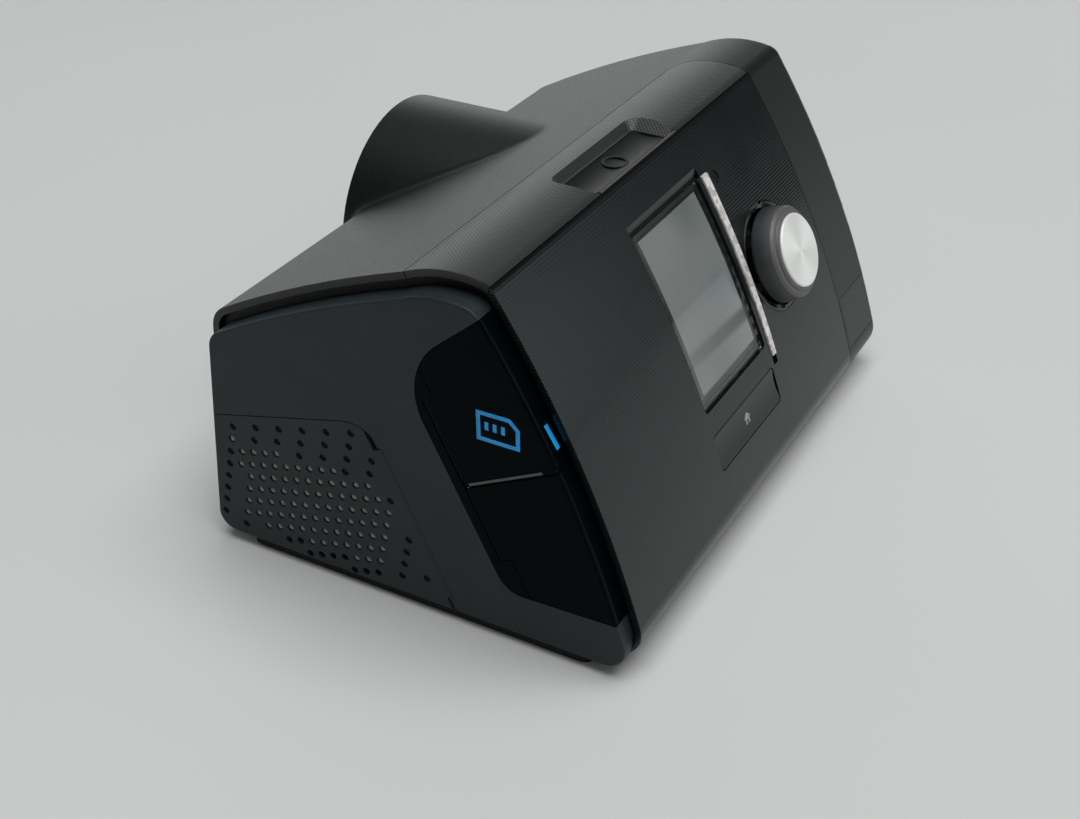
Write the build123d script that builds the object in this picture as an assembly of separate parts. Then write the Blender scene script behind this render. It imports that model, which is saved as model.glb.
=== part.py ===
from build123d import *
import math
import os

# Bedside positive-airway-pressure machine, in millimetres with +Z up.
# X runs from the side panel (-X) to the water tub (+X), and Y from the front panel (-Y) to the air
# outlet (+Y). The origin lies on the table, under the middle of the machine.

# ---------------------------------------------------------------- overall size
WIDTH = 205.0
DEPTH = 150.0
HEIGHT = 116.0
LEFT = -WIDTH / 2
RIGHT = WIDTH / 2

# ---------------------------------------------------------------- housing section (Y, Z)
UNDERSIDE = 5.0                 # table to the housing's underside
FEET_FRONT = 14.0               # ends of the feet, in from the front and rear
FEET_REAR = 13.0
FOOT_ROUND = 9.0                # lower front edge
FRONT_RADIUS = 350.0            # gentle bow of the front panel
PANEL_TOP_Y = -28.2             # joint of the front panel and the top band
PANEL_TOP_DROP = 1.4            # below the ridge
RIDGE_Y = -17.8
BAND_SEAM_Y = -1.2              # joint of the top band and the rear cover
BAND_SEAM_DROP = 3.8
TOP_RADIUS = 400.0              # bow of the sloping top
REAR_LEAN = 6.4                 # top of the rear wall, in from its foot
REAR_TOP_DROP = 35.0
RIDGE_ROUND = 6.0
REAR_ROUND = 9.0
BASE_ROUND = 6.0
WALL = 2.2
END_WALL = 2.2
END_ROUND = 4.0                 # edge of the right end
RIM_X = LEFT + 6.0              # left end of the outer skin
SEAM = 0.3                      # visible joint between fixed covers
FIT = 0.2                       # slip clearance between fixed pieces
RUN = 0.05                      # radial clearance of a shaft or pin

# ---------------------------------------------------------------- panels
PANEL_RIGHT = 74.5              # right edge of the front panel and the top band
BAND_CORNER = 7.0
BASE_TOP = 12.0                 # joint of the base pan and the rear cover
BASE_FRONT = 12.0               # base pan's front joint, in from the front
BASE_FRONT_Y = BASE_FRONT - DEPTH / 2

# ---------------------------------------------------------------- side panel, flaps and filter cover
PLATE = 2.4                     # thickness of the side panel and its covers
PANEL_WALL = 2.2
PANEL_INSET = 2.4               # side panel inside the housing section
PANEL_DROP = 3.2                # and lower than it
PANEL_ROUND = 7.0
FRAME_X = RIM_X + 2.5           # left face of the side frame
FRAME_T = 2.0
BACKING = 0.4                   # gap between the side panel's wall and the skin
HINGE_FOOT = (-22.0, 52.2)      # lower inner end of the card cover
HINGE_RISE = 63.24              # slope of the flap hinge, degrees from +Y
HINGE_IN = 4.15                 # flap hinge to the rim of the access bay
BAY_TOP_SLOPE = -0.85
BAY_TOP_AT = (-29.1, HEIGHT - 7.7)
BAY_FLOOR_AT = (-42.3, 18.9)
BAY_TOP_ROUND = 22.0
BAY_LOW_ROUND = 9.0
BARREL_R = PLATE / 2
ROD_R = 0.6
SLIT = 2.0                      # space between the two flaps
DIVIDER = 1.4
BARREL_START = 1.6              # hinge barrels, measured along the hinge from HINGE_FOOT
BARREL_CORNER = 11.24335        # card cover's barrel, short of the bay's upper corner
ADAPTER_BARREL = (-25.0, -BARREL_START)
LUG = 3.4
HINGE_BLOCK = 3.2               # fixed end blocks reach this far past the flap hinge
WALL_START = 16.0               # filter cover's rim starts this far from its hinge
FILTER_TOP_AT = (70.0, 47.6)
FILTER_TOP_TILT = 14.8
FILTER_HINGE_AT = (7.0, 55.3)
FILTER_HINGE_RISE = 64.5
FILTER_CORNER = 11.0
FILTER_BARREL = (-51.5, -0.4)   # along the filter hinge from FILTER_HINGE_AT
FILTER_LUG = 6.6
CORNER_CLEAR = 2.6              # strip of the filter cover cut back beside the panel's corner
CARD_A = 16.0                   # memory card, along the flap hinge
CARD_B = 15.0                   # and towards the front
CARD_W = 24.0
CARD_L = 32.0
CARD_T = 2.1
CARD_X = LEFT + 3.6             # outer edge of the card
CARD_PUSH = 1.0
MID_POST = (2.0, 66.0)          # post between the two hinges
FILTER_EDGE = 5.0
FILTER_T = 5.4
HOLE_R = 1.3
HOLE_PITCH = 4.6
HOLE_ROW = 4.46
HOLE_SIDES = 8
HOLE_START = (59.9, 13.7)       # one hole of the pattern
HOLE_MARGIN = 3.2               # outermost dimples to the cover's edge
DIMPLE_DEPTH = 0.9
# the holes go through inside this shape, and are only dimples outside it
VENT = ((62.8, 41.7), (62.8, 36.0), (57.6, 24.6), (62.2, 14.0), (56.5, 10.2),
        (38.5, 5.7), (10.3, 5.7), (5.0, 20.0), (5.0, 33.0), (9.8, 41.7))

# ---------------------------------------------------------------- front controls
SCREEN_X = -7.7
SCREEN_W = 46.4
SCREEN_H = 60.0
SCREEN_HEAD = 11.2              # ridge down to the screen
SCREEN_Z = HEIGHT - SCREEN_HEAD - SCREEN_H / 2
WINDOW_DEPTH = 1.1
WINDOW_T = 1.1
SCREEN_LEAD = 2.8               # sloping lead-in above the screen
DISPLAY_W = 42.4
DISPLAY_H = 55.0
HOME_W = 47.4
HOME_H = 12.4
HOME_GAP = 4.0                  # between the screen and the home button
HOME_DISH = 0.5                 # hollow of the home button's face
HOME_DISH_R = 40.0
HOME_Z = SCREEN_Z - SCREEN_H / 2 - HOME_GAP - HOME_H / 2
TRIM_X0 = 17.9                  # left edge of the trim strip
TRIM_W = 3.8                    # its width at the top
TRIM_FOOT_W = 2.6               # and at the foot
TRIM_NOTCH = 3.0                # the groove runs on below the strip
TRIM_PROUD = 0.5
TRIM_HEAD = 15.2                # ridge down to the trim strip
TRIM_LENGTH = 57.6
TRIM_Z1 = HEIGHT - TRIM_HEAD
TRIM_Z0 = TRIM_Z1 - TRIM_LENGTH
SENSOR_X = 25.6
SENSOR_Z = TRIM_Z1 - 2.6
SENSOR_R = 1.9
KEY_GAP = 0.35
KEY_TRAVEL = 0.6
DIAL_X = 40.2
DIAL_DROP = 7.5                 # middle of the screen down to the dial
DIAL_Z = SCREEN_Z - DIAL_DROP
DIAL_R = 15.3
DIAL_PROUD = 8.2
DIAL_FACE_R = 12.3
DIAL_FACE_PROUD = 10.1
DIAL_SKIRT = 1.1                # lower edge of the grip, proud of the panel
DIAL_NECK_R = 6.0
DIAL_FLARE = 0.9                # the grip is wider at its foot
DIAL_BORE_GAP = 0.8
DIAL_RING_R = 18.6
SHAFT_R = 3.0
BOARD_DEPTH = 9.5               # display board behind the front surface, at the dial
BOARD_T = 1.6
BOARD_W = 104.0                 # and its size and middle, seen from the dial
BOARD_H = 76.0
BOARD_AT = (-28.0, -3.0)
DISPLAY_DEPTH = 5.4             # front of the display, at the dial
START_X = -9.6
START_Y = -20.6
START_W = 46.0
START_H = 11.2
SCOOP_DEPTH = 2.4               # below the ridge
START_TRAVEL = 0.8
KEY_RIM = 1.0                   # rim that keeps a key behind its opening
SWITCH = 6.0                    # side of a key switch
START_PAD = 9.0                 # the top band is this thick around the button
START_TOP = HEIGHT - SCOOP_DEPTH + 0.3
START_FOOT = HEIGHT - START_PAD - 0.3 - 1.1
SWITCH_BOARD_Z = START_FOOT - START_TRAVEL - 0.1 - 2.0 - BOARD_T
PLATE_Z0 = 18.0
PLATE_Z1 = 36.0
PLATE_T = 0.8

# ---------------------------------------------------------------- air outlet
SHROUD_X = 17.6
SHROUD_DROP = 51.2              # ridge down to the shroud's axis
SHROUD_Z = HEIGHT - SHROUD_DROP
SHROUD_R = 39.8
SHROUD_SINK = 28.6              # floor of the shroud, in from the rear
SHROUD_FLOOR_Y = DEPTH / 2 - SHROUD_SINK
SHROUD_BLEND = 6.0              # hollow round between the shroud and the top
OUTLET_R = 11.0
OUTLET_BORE = 9.2
OUTLET_SINK = 6.0               # mouth of the outlet, in from the rear
OUTLET_END_Y = DEPTH / 2 - OUTLET_SINK
SEAL_T = 1.6                    # soft ring between the elbow and the shroud's floor

# ---------------------------------------------------------------- intake
BOX_W = 27.7
BOX_X = (FRAME_X + FRAME_T + 0.3, FRAME_X + FRAME_T + 0.3 + BOX_W)
BOX_REAR = 14.0                 # intake chamber, in from the rear
BOX_HEAD = 42.0                 # and down from the ridge
BOX_Y = (-2.0, DEPTH / 2 - BOX_REAR)
BOX_Z = (10.0, HEIGHT - BOX_HEAD)
BOX_WALL = 1.8
INTAKE_IN = 13.7                # middle of the duct's foot, in from the filter
INTAKE_X = BOX_X[0] + INTAKE_IN

# ---------------------------------------------------------------- blower
BLOWER_GAP = 34.0               # intake chamber to the blower's axis
BLOWER_X = BOX_X[1] + BLOWER_GAP
BLOWER_REAR = 63.0              # blower's axis, in from the rear
BLOWER_Y = DEPTH / 2 - BLOWER_REAR
VOLUTE_H = 20.0
VOLUTE_RISE = 7.0               # top of the scroll above half the height
VOLUTE_Z1 = HEIGHT / 2 + VOLUTE_RISE
VOLUTE_Z0 = VOLUTE_Z1 - VOLUTE_H
VOLUTE_R = 23.0                 # scroll radius where it starts
VOLUTE_GROW = 6.5
VOLUTE_T = 1.8
IMPELLER_R = 20.0
EYE_R = 9.0
BLADES = 11
ROTOR_R = 2.0
STATOR_R = 17.0
STATOR_H = 16.0
STATOR_DROP = 5.0               # stator below the scroll
STATOR_Z1 = VOLUTE_Z0 - STATOR_DROP
STATOR_Z0 = STATOR_Z1 - STATOR_H
BEARING_R = 5.0
BEARING_T = 3.0
DUCT_R = 9.6
DUCT_WALL = 1.4
DUCT_BEND = 12.0
DUCT_HEAD = 28.0                # ridge down to the duct's upper run
DUCT_Z = HEIGHT - DUCT_HEAD
INTAKE_Y = BLOWER_Y

# ---------------------------------------------------------------- humidifier
BAY_X0 = 34.0
BAY_WALL = 1.8
BAY_Z0 = UNDERSIDE + WALL + BAY_WALL
BAY_HEAD = 29.7                 # ridge down to the bay's roof
BAY_REAR = 34.5                 # and the bay's walls in from the front and rear
BAY_FRONT = 25.0
BAY_LEAN = 24.0
BAY_Z1 = HEIGHT - BAY_HEAD
BAY_Y1 = DEPTH / 2 - BAY_REAR
BAY_FOOT_Y = BAY_FRONT - DEPTH / 2
BAY_HEAD_Y = BAY_FOOT_Y + BAY_LEAN
BAY_ROUND = 6.0
TUB_GAP = 0.6
TUB_WALL = 2.0
TUB_RIGHT = RIGHT - 6.5
END_T = 3.0                     # tub end cover
END_SILL = BAY_Z0 + 0.6         # lower edge of the tub's opening
END_INSET = 8.0                 # tub end cover inside the housing section
PORT_AHEAD = 22.0               # blower's outlet pipe, ahead of its axis
PORT_IN = (BLOWER_Y - PORT_AHEAD, VOLUTE_Z1 - VOLUTE_H / 2)
PORT_OUT = (SHROUD_FLOOR_Y - WALL - SEAL_T + 0.2 - (BAY_X0 - SHROUD_X), SHROUD_Z)
PORT_R = 8.0
TUB_SPLIT = PORT_IN[1] - PORT_R - 3.0
HEATER_SHORT = 16.5             # heater plate shorter than the bay
HEATER_W = 52.0
HEATER_Y = -4.0

# ---------------------------------------------------------------- power inlet
POWER_IN = 52.5                 # middle of the power inlet, in from the side panel
POWER_X = LEFT + POWER_IN
POWER_Z = 24.5
RECESS_W = 36.0
RECESS_H = 28.0
RECESS_D = 4.6
CLIP_W = 30.0
CLIP_H = 22.5
CLIP_T = 2.4
CLIP_BAR = 3.5
CLIP_PIN_R = 1.3
JACK_R = 5.0

# ---------------------------------------------------------------- boards and fasteners
BOARD_Z = 10.4
MAIN_X = (BOX_X[1] + 4.0, BAY_X0 - 6.0)
MAIN_Y = (27.0 - DEPTH / 2, DEPTH / 2 - 35.0)
POST_IN = 4.0                   # board posts, in from the board's corners
SCREW_R = 1.6


# ================================================================ geometry helpers
def vec(a, b):
    return (b[0] - a[0], b[1] - a[1])


def along(p, d, s):
    return (p[0] + d[0] * s, p[1] + d[1] * s)


def heading(degrees):
    return (math.cos(math.radians(degrees)), math.sin(math.radians(degrees)))


def unit(v):
    length = math.hypot(v[0], v[1])
    return (v[0] / length, v[1] / length)


def crossing(p, d, q, e):
    """Where the line through p along d meets the line through q along e."""
    det = d[0] * e[1] - d[1] * e[0]
    s = ((q[0] - p[0]) * e[1] - (q[1] - p[1]) * e[0]) / det
    return along(p, d, s)


def circle_meet(p, rp, q, rq):
    """The rear one of the two points that lie rp from p and rq from q."""
    d = math.dist(p, q)
    a = (rp * rp - rq * rq + d * d) / (2 * d)
    h = math.sqrt(rp * rp - a * a)
    ex = unit(vec(p, q))
    m = along(p, ex, a)
    ends = [along(m, (-ex[1], ex[0]), h), along(m, (-ex[1], ex[0]), -h)]
    return max(ends)


def poly(*points):
    """A closed flat face through the given points."""
    return make_face(Polyline(*points, close=True))


def grow(face, amount):
    """A face pushed out (or in, if negative) by an even amount, with sharp corners kept."""
    if amount == 0:
        return face
    return offset(face, amount=amount, kind=Kind.INTERSECTION)


def round_near(face, corners, inset=0.0):
    """Round the corner of a face nearest to each given point, less as the face is drawn in."""
    for point, radius in corners:
        radius = max(radius - inset, 1.0)
        near = sorted(face.vertices(), key=lambda v: math.hypot(v.X - point[0], v.Y - point[1]))[0]
        face = fillet(near, radius)
    return face


def prism(face, x0, x1):
    """A (Y, Z) section carried from x0 to x1."""
    return extrude(Plane.YZ.offset(x0) * face, amount=x1 - x0)


def block(x0, x1, y0, y1, z0, z1):
    return Pos((x0 + x1) / 2, (y0 + y1) / 2, (z0 + z1) / 2) * Box(x1 - x0, y1 - y0, z1 - z0)


def rod_y(x, z, r, y0, y1):
    """A round bar along Y."""
    return Plane(origin=(x, y0, z), x_dir=(1, 0, 0), z_dir=(0, 1, 0)) * Cylinder(
        r, y1 - y0, align=(Align.CENTER, Align.CENTER, Align.MIN))


def rod_z(x, y, r, z0, z1):
    """A round bar along Z."""
    return Pos(x, y, z0) * Cylinder(r, z1 - z0, align=(Align.CENTER, Align.CENTER, Align.MIN))


def rod_x(y, z, r, x0, x1):
    """A round bar along X."""
    return Plane(origin=(x0, y, z), x_dir=(0, 1, 0), z_dir=(1, 0, 0)) * Cylinder(
        r, x1 - x0, align=(Align.CENTER, Align.CENTER, Align.MIN))


def rod_between(p, q, r):
    """A round bar from point p to point q."""
    d = Vector(*q) - Vector(*p)
    return Plane(origin=p, z_dir=d.normalized()) * Cylinder(
        r, d.length, align=(Align.CENTER, Align.CENTER, Align.MIN))


# ================================================================ housing section
FOOT_C = (-DEPTH / 2 + FOOT_ROUND, UNDERSIDE + FOOT_ROUND)
PANEL_TOP = (PANEL_TOP_Y, HEIGHT - PANEL_TOP_DROP)
RIDGE = (RIDGE_Y, HEIGHT)
BAND_SEAM = (BAND_SEAM_Y, HEIGHT - BAND_SEAM_DROP)
REAR_TOP = (DEPTH / 2 - REAR_LEAN, HEIGHT - REAR_TOP_DROP)
REAR_FOOT = (DEPTH / 2, UNDERSIDE)
FRONT_C = circle_meet(FOOT_C, FRONT_RADIUS - FOOT_ROUND, PANEL_TOP, FRONT_RADIUS)


def front_y(z):
    """Y of the front surface at height z."""
    return FRONT_C[0] - math.sqrt(FRONT_RADIUS ** 2 - (z - FRONT_C[1]) ** 2)


def sharp_outline():
    """The housing section before its corners are rounded."""
    low = unit(vec(FRONT_C, FOOT_C))
    tangent = along(FRONT_C, low, FRONT_RADIUS)
    bottom = (FOOT_C[0], UNDERSIDE)
    foot_mid = along(FOOT_C, unit((low[0], low[1] - 1)), FOOT_ROUND)
    mid_z = (tangent[1] + PANEL_TOP[1]) / 2
    chord = vec(BAND_SEAM, REAR_TOP)
    half = math.hypot(*chord) / 2
    sag = TOP_RADIUS - math.sqrt(TOP_RADIUS ** 2 - half ** 2)
    top_mid = along(along(BAND_SEAM, chord, 0.5), unit((-chord[1], chord[0])), sag)
    edges = [
        ThreePointArc(bottom, foot_mid, tangent),
        ThreePointArc(tangent, (front_y(mid_z), mid_z), PANEL_TOP),
        ThreePointArc(PANEL_TOP, RIDGE, BAND_SEAM),
        ThreePointArc(BAND_SEAM, top_mid, REAR_TOP),
        Line(REAR_TOP, REAR_FOOT),
        Line(REAR_FOOT, bottom),
    ]
    return make_face(edges)


def outline(inset=0.0):
    """The housing section, drawn in by an even inset."""
    face = grow(sharp_outline(), -inset)
    rounds = [(PANEL_TOP, RIDGE_ROUND), (REAR_TOP, REAR_ROUND), (REAR_FOOT, BASE_ROUND)]
    return round_near(face, rounds, inset)


def panel_outline(inset=0.0):
    """The side panel's section: the housing's, drawn in and lowered."""
    face = grow(sharp_outline(), -(PANEL_INSET + inset))
    face = Pos(0, -PANEL_DROP) * face
    rounds = [(PANEL_TOP, PANEL_ROUND), (REAR_TOP, PANEL_ROUND), (REAR_FOOT, BASE_ROUND)]
    return round_near(face, rounds, inset)


def front_plane(x, z):
    """A plane that touches the front surface at (x, z), with +Z out of the machine."""
    y = front_y(z)
    normal = (0, (y - FRONT_C[0]) / FRONT_RADIUS, (z - FRONT_C[1]) / FRONT_RADIUS)
    return Plane(origin=(x, y, z), x_dir=(1, 0, 0), z_dir=normal)


def through(plane, sketch, front=20.0, back=20.0):
    """A sketch carried along its plane's normal, both ways."""
    return extrude(plane.offset(-back) * sketch, amount=front + back)


def layer(depth0, depth1, x0=RIM_X, x1=RIGHT):
    """The layer of the housing between two depths under its surface."""
    return prism(outline(depth0), x0, x1) - prism(outline(depth1), x0 - 1, x1 + 1)


# ================================================================ outer skin
def body_outer():
    body = prism(outline(), RIM_X, RIGHT)
    return fillet(body.faces().sort_by(Axis.X)[-1].edges(), END_ROUND)


def off_crown(edge):
    """How far the middle of an edge lies from the root of the shroud's crown."""
    middle = edge @ 0.5
    return abs(middle.X - SHROUD_X) + abs(middle.Z - SHROUD_Z - SHROUD_R) + abs(middle.Y) / DEPTH


def housing_skin():
    """The whole outer skin with the outlet shroud, before it is split into covers."""
    outer = body_outer() + rod_y(SHROUD_X, SHROUD_Z, SHROUD_R, 8.0, DEPTH / 2)
    outer = fillet(min(outer.edges(), key=off_crown), SHROUD_BLEND)
    inner_r = SHROUD_R - WALL
    inner = prism(outline(WALL), RIM_X - 1, RIGHT - END_WALL)
    inner += rod_y(SHROUD_X, SHROUD_Z, inner_r, 10.0, SHROUD_FLOOR_Y - WALL)
    inner -= rod_y(SHROUD_X, SHROUD_Z, SHROUD_R, SHROUD_FLOOR_Y - WALL, DEPTH)
    return outer - inner - rod_y(SHROUD_X, SHROUD_Z, inner_r, SHROUD_FLOOR_Y, DEPTH)


def band_normal(point):
    """Outward direction of the housing's surface at a joint of the top band."""
    mid = along(PANEL_TOP, vec(PANEL_TOP, BAND_SEAM), 0.5)
    chord = unit(vec(PANEL_TOP, BAND_SEAM))
    centre = along(mid, (chord[1], -chord[0]), 35.5)
    return unit(vec(centre, point))


def panel_zone(out):
    """The space of the front panel and top band, grown by out."""
    seam_dir = band_normal(BAND_SEAM)
    face = poly(along(BAND_SEAM, seam_dir, 14), along(BAND_SEAM, seam_dir, -12), (-45, 60),
                (BASE_FRONT_Y, FOOT_C[1]), (BASE_FRONT_Y, -5), (-DEPTH, -5), (-DEPTH, HEIGHT + 30),
                (BAND_SEAM_Y, HEIGHT + 30))
    zone = prism(grow(face, out), LEFT - 10, PANEL_RIGHT + out)
    corner = (PANEL_RIGHT + out, *along(BAND_SEAM, seam_dir, 1))
    edge = sorted(zone.edges(), key=lambda e: (e @ 0.5 - Vector(*corner)).length)[0]
    return fillet(edge, BAND_CORNER + out)


def band_zone(out):
    """The space above the joint of the front panel and the top band."""
    seam_dir = band_normal(PANEL_TOP)
    face = poly(along(PANEL_TOP, seam_dir, 30), along(PANEL_TOP, seam_dir, -10), (20, 95), (40, 140))
    return prism(grow(face, out), LEFT - 10, RIGHT)


def base_zone(out):
    return block(LEFT - 10, RIGHT + 10, BASE_FRONT_Y + SEAM - out, DEPTH, -5, BASE_TOP + out)


def front_fascia(skin):
    """Gloss front panel, wrapped under its lower edge, with the openings for the controls."""
    body = skin & panel_zone(-SEAM / 2)
    body -= band_zone(SEAM / 2)
    screen = through(front_plane(SCREEN_X, SCREEN_Z), RectangleRounded(SCREEN_W, SCREEN_H, 1.5))
    home = through(front_plane(SCREEN_X, HOME_Z), RectangleRounded(HOME_W, HOME_H, 1.5))
    body -= screen
    body -= screen_lead()
    body -= home
    body -= through(front_plane(DIAL_X, DIAL_Z), Circle(DIAL_RING_R + FIT))
    body -= through(front_plane(SENSOR_X, SENSOR_Z), Circle(SENSOR_R + FIT))
    body -= trim_space(FIT)
    for x, y in display_posts():
        post = through(dial_plane(), Pos(x, y) * Circle(2.6), front=2, back=BOARD_DEPTH)
        body += post & prism(outline(WALL - 0.1), RIM_X, RIGHT)
    return body


def display_posts():
    """Posts of the display board, in the dial's own plane."""
    x0, x1 = BOARD_AT[0] - BOARD_W / 2 + 4, BOARD_AT[0] + BOARD_W / 2 - 4
    y0, y1 = BOARD_AT[1] - BOARD_H / 2 + 4, BOARD_AT[1] + BOARD_H / 2 - 4
    return [(x0, y0), (x1, y0), (x0, y1), (x1, y1)]


def screen_lead():
    """Sloping surface that leads down to the top edge of the screen."""
    middle = front_plane(SCREEN_X, SCREEN_Z)
    edge = front_plane(SCREEN_X, (middle * Pos(0, SCREEN_H / 2, 0)).position.Z)
    x0, x1 = -SCREEN_W / 2, TRIM_X0 - SCREEN_X - FIT - 0.6
    deep = WINDOW_DEPTH - 0.1
    face = poly((-0.6, -deep), (0, -deep), (SCREEN_LEAD, 0.05), (SCREEN_LEAD, 3), (-0.6, 3))
    return edge * prism(face, x0, x1)


def trim_bar(out, foot=0.0):
    """The trim strip's tapered outline, carried through the front panel."""
    z0, z1 = TRIM_Z0 - foot - out, TRIM_Z1 + out
    face = poly((TRIM_X0 - out, z0), (TRIM_X0 + TRIM_FOOT_W + out, z0), (TRIM_X0 + TRIM_W + out, z1),
                (TRIM_X0 - out, z1))
    return extrude(Plane.XZ * face, amount=DEPTH)


def trim_space(out):
    """Groove of the trim strip, half way through the front panel."""
    return layer(-3, WALL / 2) & trim_bar(out, TRIM_NOTCH)


def scoop(extra=0.0):
    """Finger scoop over the start button, open to the front."""
    floor_z = HEIGHT - SCOOP_DEPTH
    x0, x1 = START_X - START_W / 2, START_X + START_W / 2
    top = Pos((x0 + x1) / 2 + 2.6, -20.0, HEIGHT + 2) * RectangleRounded(x1 - x0 + 15, 26, 8)
    low = Pos((x0 + x1) / 2, -22.5, floor_z) * RectangleRounded(x1 - x0 + 1.6, 17, 1.5)
    cut = loft([Plane.XY * low, Plane.XY * top])
    return cut


def start_outline(out):
    return Pos(START_X, START_Y) * RectangleRounded(START_W + 2 * out, START_H + 2 * out, 1.6)


def top_band(skin):
    """Dotted band over the ridge, with the scoop and the well of the start button."""
    body = (skin & panel_zone(-SEAM / 2)) & band_zone(-SEAM / 2)
    pad = layer(0.3, 9.0, START_X - 30, START_X + 32) & band_zone(-SEAM / 2)
    pad &= block(START_X - 30, START_X + 32, -40, -7, HEIGHT - START_PAD, HEIGHT + 2)
    body += pad & panel_zone(-SEAM / 2)
    for x, y in switch_posts():
        body += rod_z(x, y, 2.2, SWITCH_BOARD_Z + BOARD_T, HEIGHT - 5)
    body -= scoop()
    body -= extrude(Pos(0, 0, HEIGHT - 20) * start_outline(KEY_GAP), amount=30)
    return body - light_space(FIT)


def switch_posts():
    reach = START_W / 2 + KEY_RIM + 3.0
    return [(START_X - reach, START_Y), (START_X + reach, START_Y)]


def light_space(out):
    """Slot for the status light, along the front lip of the scoop."""
    x0, x1 = START_X - START_W / 2 - out, START_X + START_W / 2 + 5 + out
    back = START_Y - START_H / 2 - KEY_GAP - 0.6
    return block(x0, x1, -60, back + out, HEIGHT - 6 - out, HEIGHT + 5)


def status_light():
    """Light guide between the start button and the front panel."""
    body = layer(0.0, 5.0) & band_zone(-SEAM / 2)
    body &= light_space(0)
    return body & block(LEFT, RIGHT, -60, 0, 0, HEIGHT - SCOOP_DEPTH + 0.9)


def start_button():
    """Dished start/stop button, hollow below, with its stem and the rim that keeps it in."""
    body = extrude(Pos(0, 0, START_FOOT) * start_outline(0), amount=START_TOP - START_FOOT)
    body += extrude(Pos(0, 0, START_FOOT) * start_outline(KEY_RIM), amount=1.1)
    body -= Pos(START_X, START_Y, START_TOP + 24.2) * Rot(0, 90, 0) * Cylinder(25.0, START_W + 2)
    body -= extrude(Pos(0, 0, START_FOOT - 1) * start_outline(-1.6), amount=START_TOP - START_FOOT - 1.6)
    ring = Pos(START_X, START_Y, START_TOP - 0.9) * (Cylinder(4.2, 1.0) - Cylinder(3.3, 2.0))
    return body + ring + rod_z(START_X, START_Y, 2.5, START_FOOT, START_TOP - 1.5)


def switch_board():
    """Small board under the start button."""
    reach = START_W / 2 + KEY_RIM + 6.0
    z = SWITCH_BOARD_Z
    body = block(START_X - reach, START_X + reach, START_Y - 5, START_Y + 5, z, z + BOARD_T)
    for x, y in switch_posts():
        body -= rod_z(x, y, SCREW_R, z - 1, z + BOARD_T + 1)
    return body


def key_switches():
    """Switches under the start button and the home key."""
    half = SWITCH / 2
    z = SWITCH_BOARD_Z + BOARD_T
    start = block(START_X - half, START_X + half, START_Y - half, START_Y + half, z, z + 2.0)
    at = dial_local(SCREEN_X, HOME_Z)
    switch = Pos(*at) * Rectangle(SWITCH, SWITCH)
    home = through(dial_plane(), switch, front=2 - BOARD_DEPTH, back=BOARD_DEPTH)
    return Compound(children=[start, home])


def label_plate():
    """Bare plate at the lower right of the front."""
    solid = body_outer() - prism(outline(PLATE_T), RIM_X - 1, RIGHT - PLATE_T)
    zone = block(PANEL_RIGHT + 1.0, RIGHT - 1.2, -DEPTH, -40, PLATE_Z0, PLATE_Z1)
    return solid & zone


def end_opening(out):
    """Opening of the right end, filled by the tub's end cover."""
    face = outline(END_INSET - out)
    face += Pos(0, END_SILL - UNDERSIDE - END_INSET) * face
    keep = poly((-DEPTH, END_SILL - out), (DEPTH, END_SILL - out), (DEPTH, 200), (-DEPTH, 200))
    return face & keep


def rear_cover(skin):
    """Rear and top cover with the outlet shroud and the right front column."""
    body = skin - panel_zone(SEAM / 2)
    body -= base_zone(SEAM / 2)
    plate = body_outer() - prism(outline(PLATE_T), RIM_X - 1, RIGHT - PLATE_T)
    zone = block(PANEL_RIGHT + 1.0 - FIT, RIGHT + 1, -DEPTH, -40, PLATE_Z0 - FIT, PLATE_Z1 + FIT)
    body -= plate & zone
    body -= prism(end_opening(0.0), RIGHT - 10, RIGHT + 1)
    body -= rod_y(SHROUD_X, SHROUD_Z, OUTLET_R + FIT, SHROUD_FLOOR_Y - 5, SHROUD_FLOOR_Y + 1)
    well = block(POWER_X - RECESS_W / 2 - WALL, POWER_X + RECESS_W / 2 + WALL, DEPTH / 2 - 12,
                 DEPTH / 2 + 1, BASE_TOP + SEAM / 2, BASE_TOP + RECESS_H + WALL)
    inner = prism(outline(0.1), RIM_X, RIGHT)
    floor_y = DEPTH / 2 - 3.0 - RECESS_D
    lining = (well & inner) & block(LEFT, RIGHT, floor_y - WALL, DEPTH, 0, HEIGHT)
    body += lining
    body -= block(POWER_X - RECESS_W / 2, POWER_X + RECESS_W / 2, floor_y, DEPTH,
                  BASE_TOP - 5, BASE_TOP + RECESS_H)
    body -= rod_y(POWER_X, POWER_Z, JACK_R + 1.5 + FIT, floor_y - 5, floor_y + 1)
    pin_z = clip_pin()[1]
    body -= rod_x(clip_pin()[0], pin_z, CLIP_PIN_R + RUN, POWER_X - RECESS_W / 2 - 1.4,
                  POWER_X + RECESS_W / 2 + 1.4)
    return body


def base_pan(skin):
    """Base tray with bosses for the main board and the blower."""
    body = (skin & base_zone(-SEAM / 2)) - panel_zone(SEAM / 2)
    body -= prism(end_opening(0.0), RIGHT - 10, RIGHT + 1)
    floor = UNDERSIDE + WALL - 0.1
    for x, y in board_posts():
        body += rod_z(x, y, 3.0, floor, BOARD_Z)
    for x, y in blower_posts():
        body += rod_z(x, y, 3.4, floor, STATOR_Z0 - 8.0)
    return body


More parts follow.
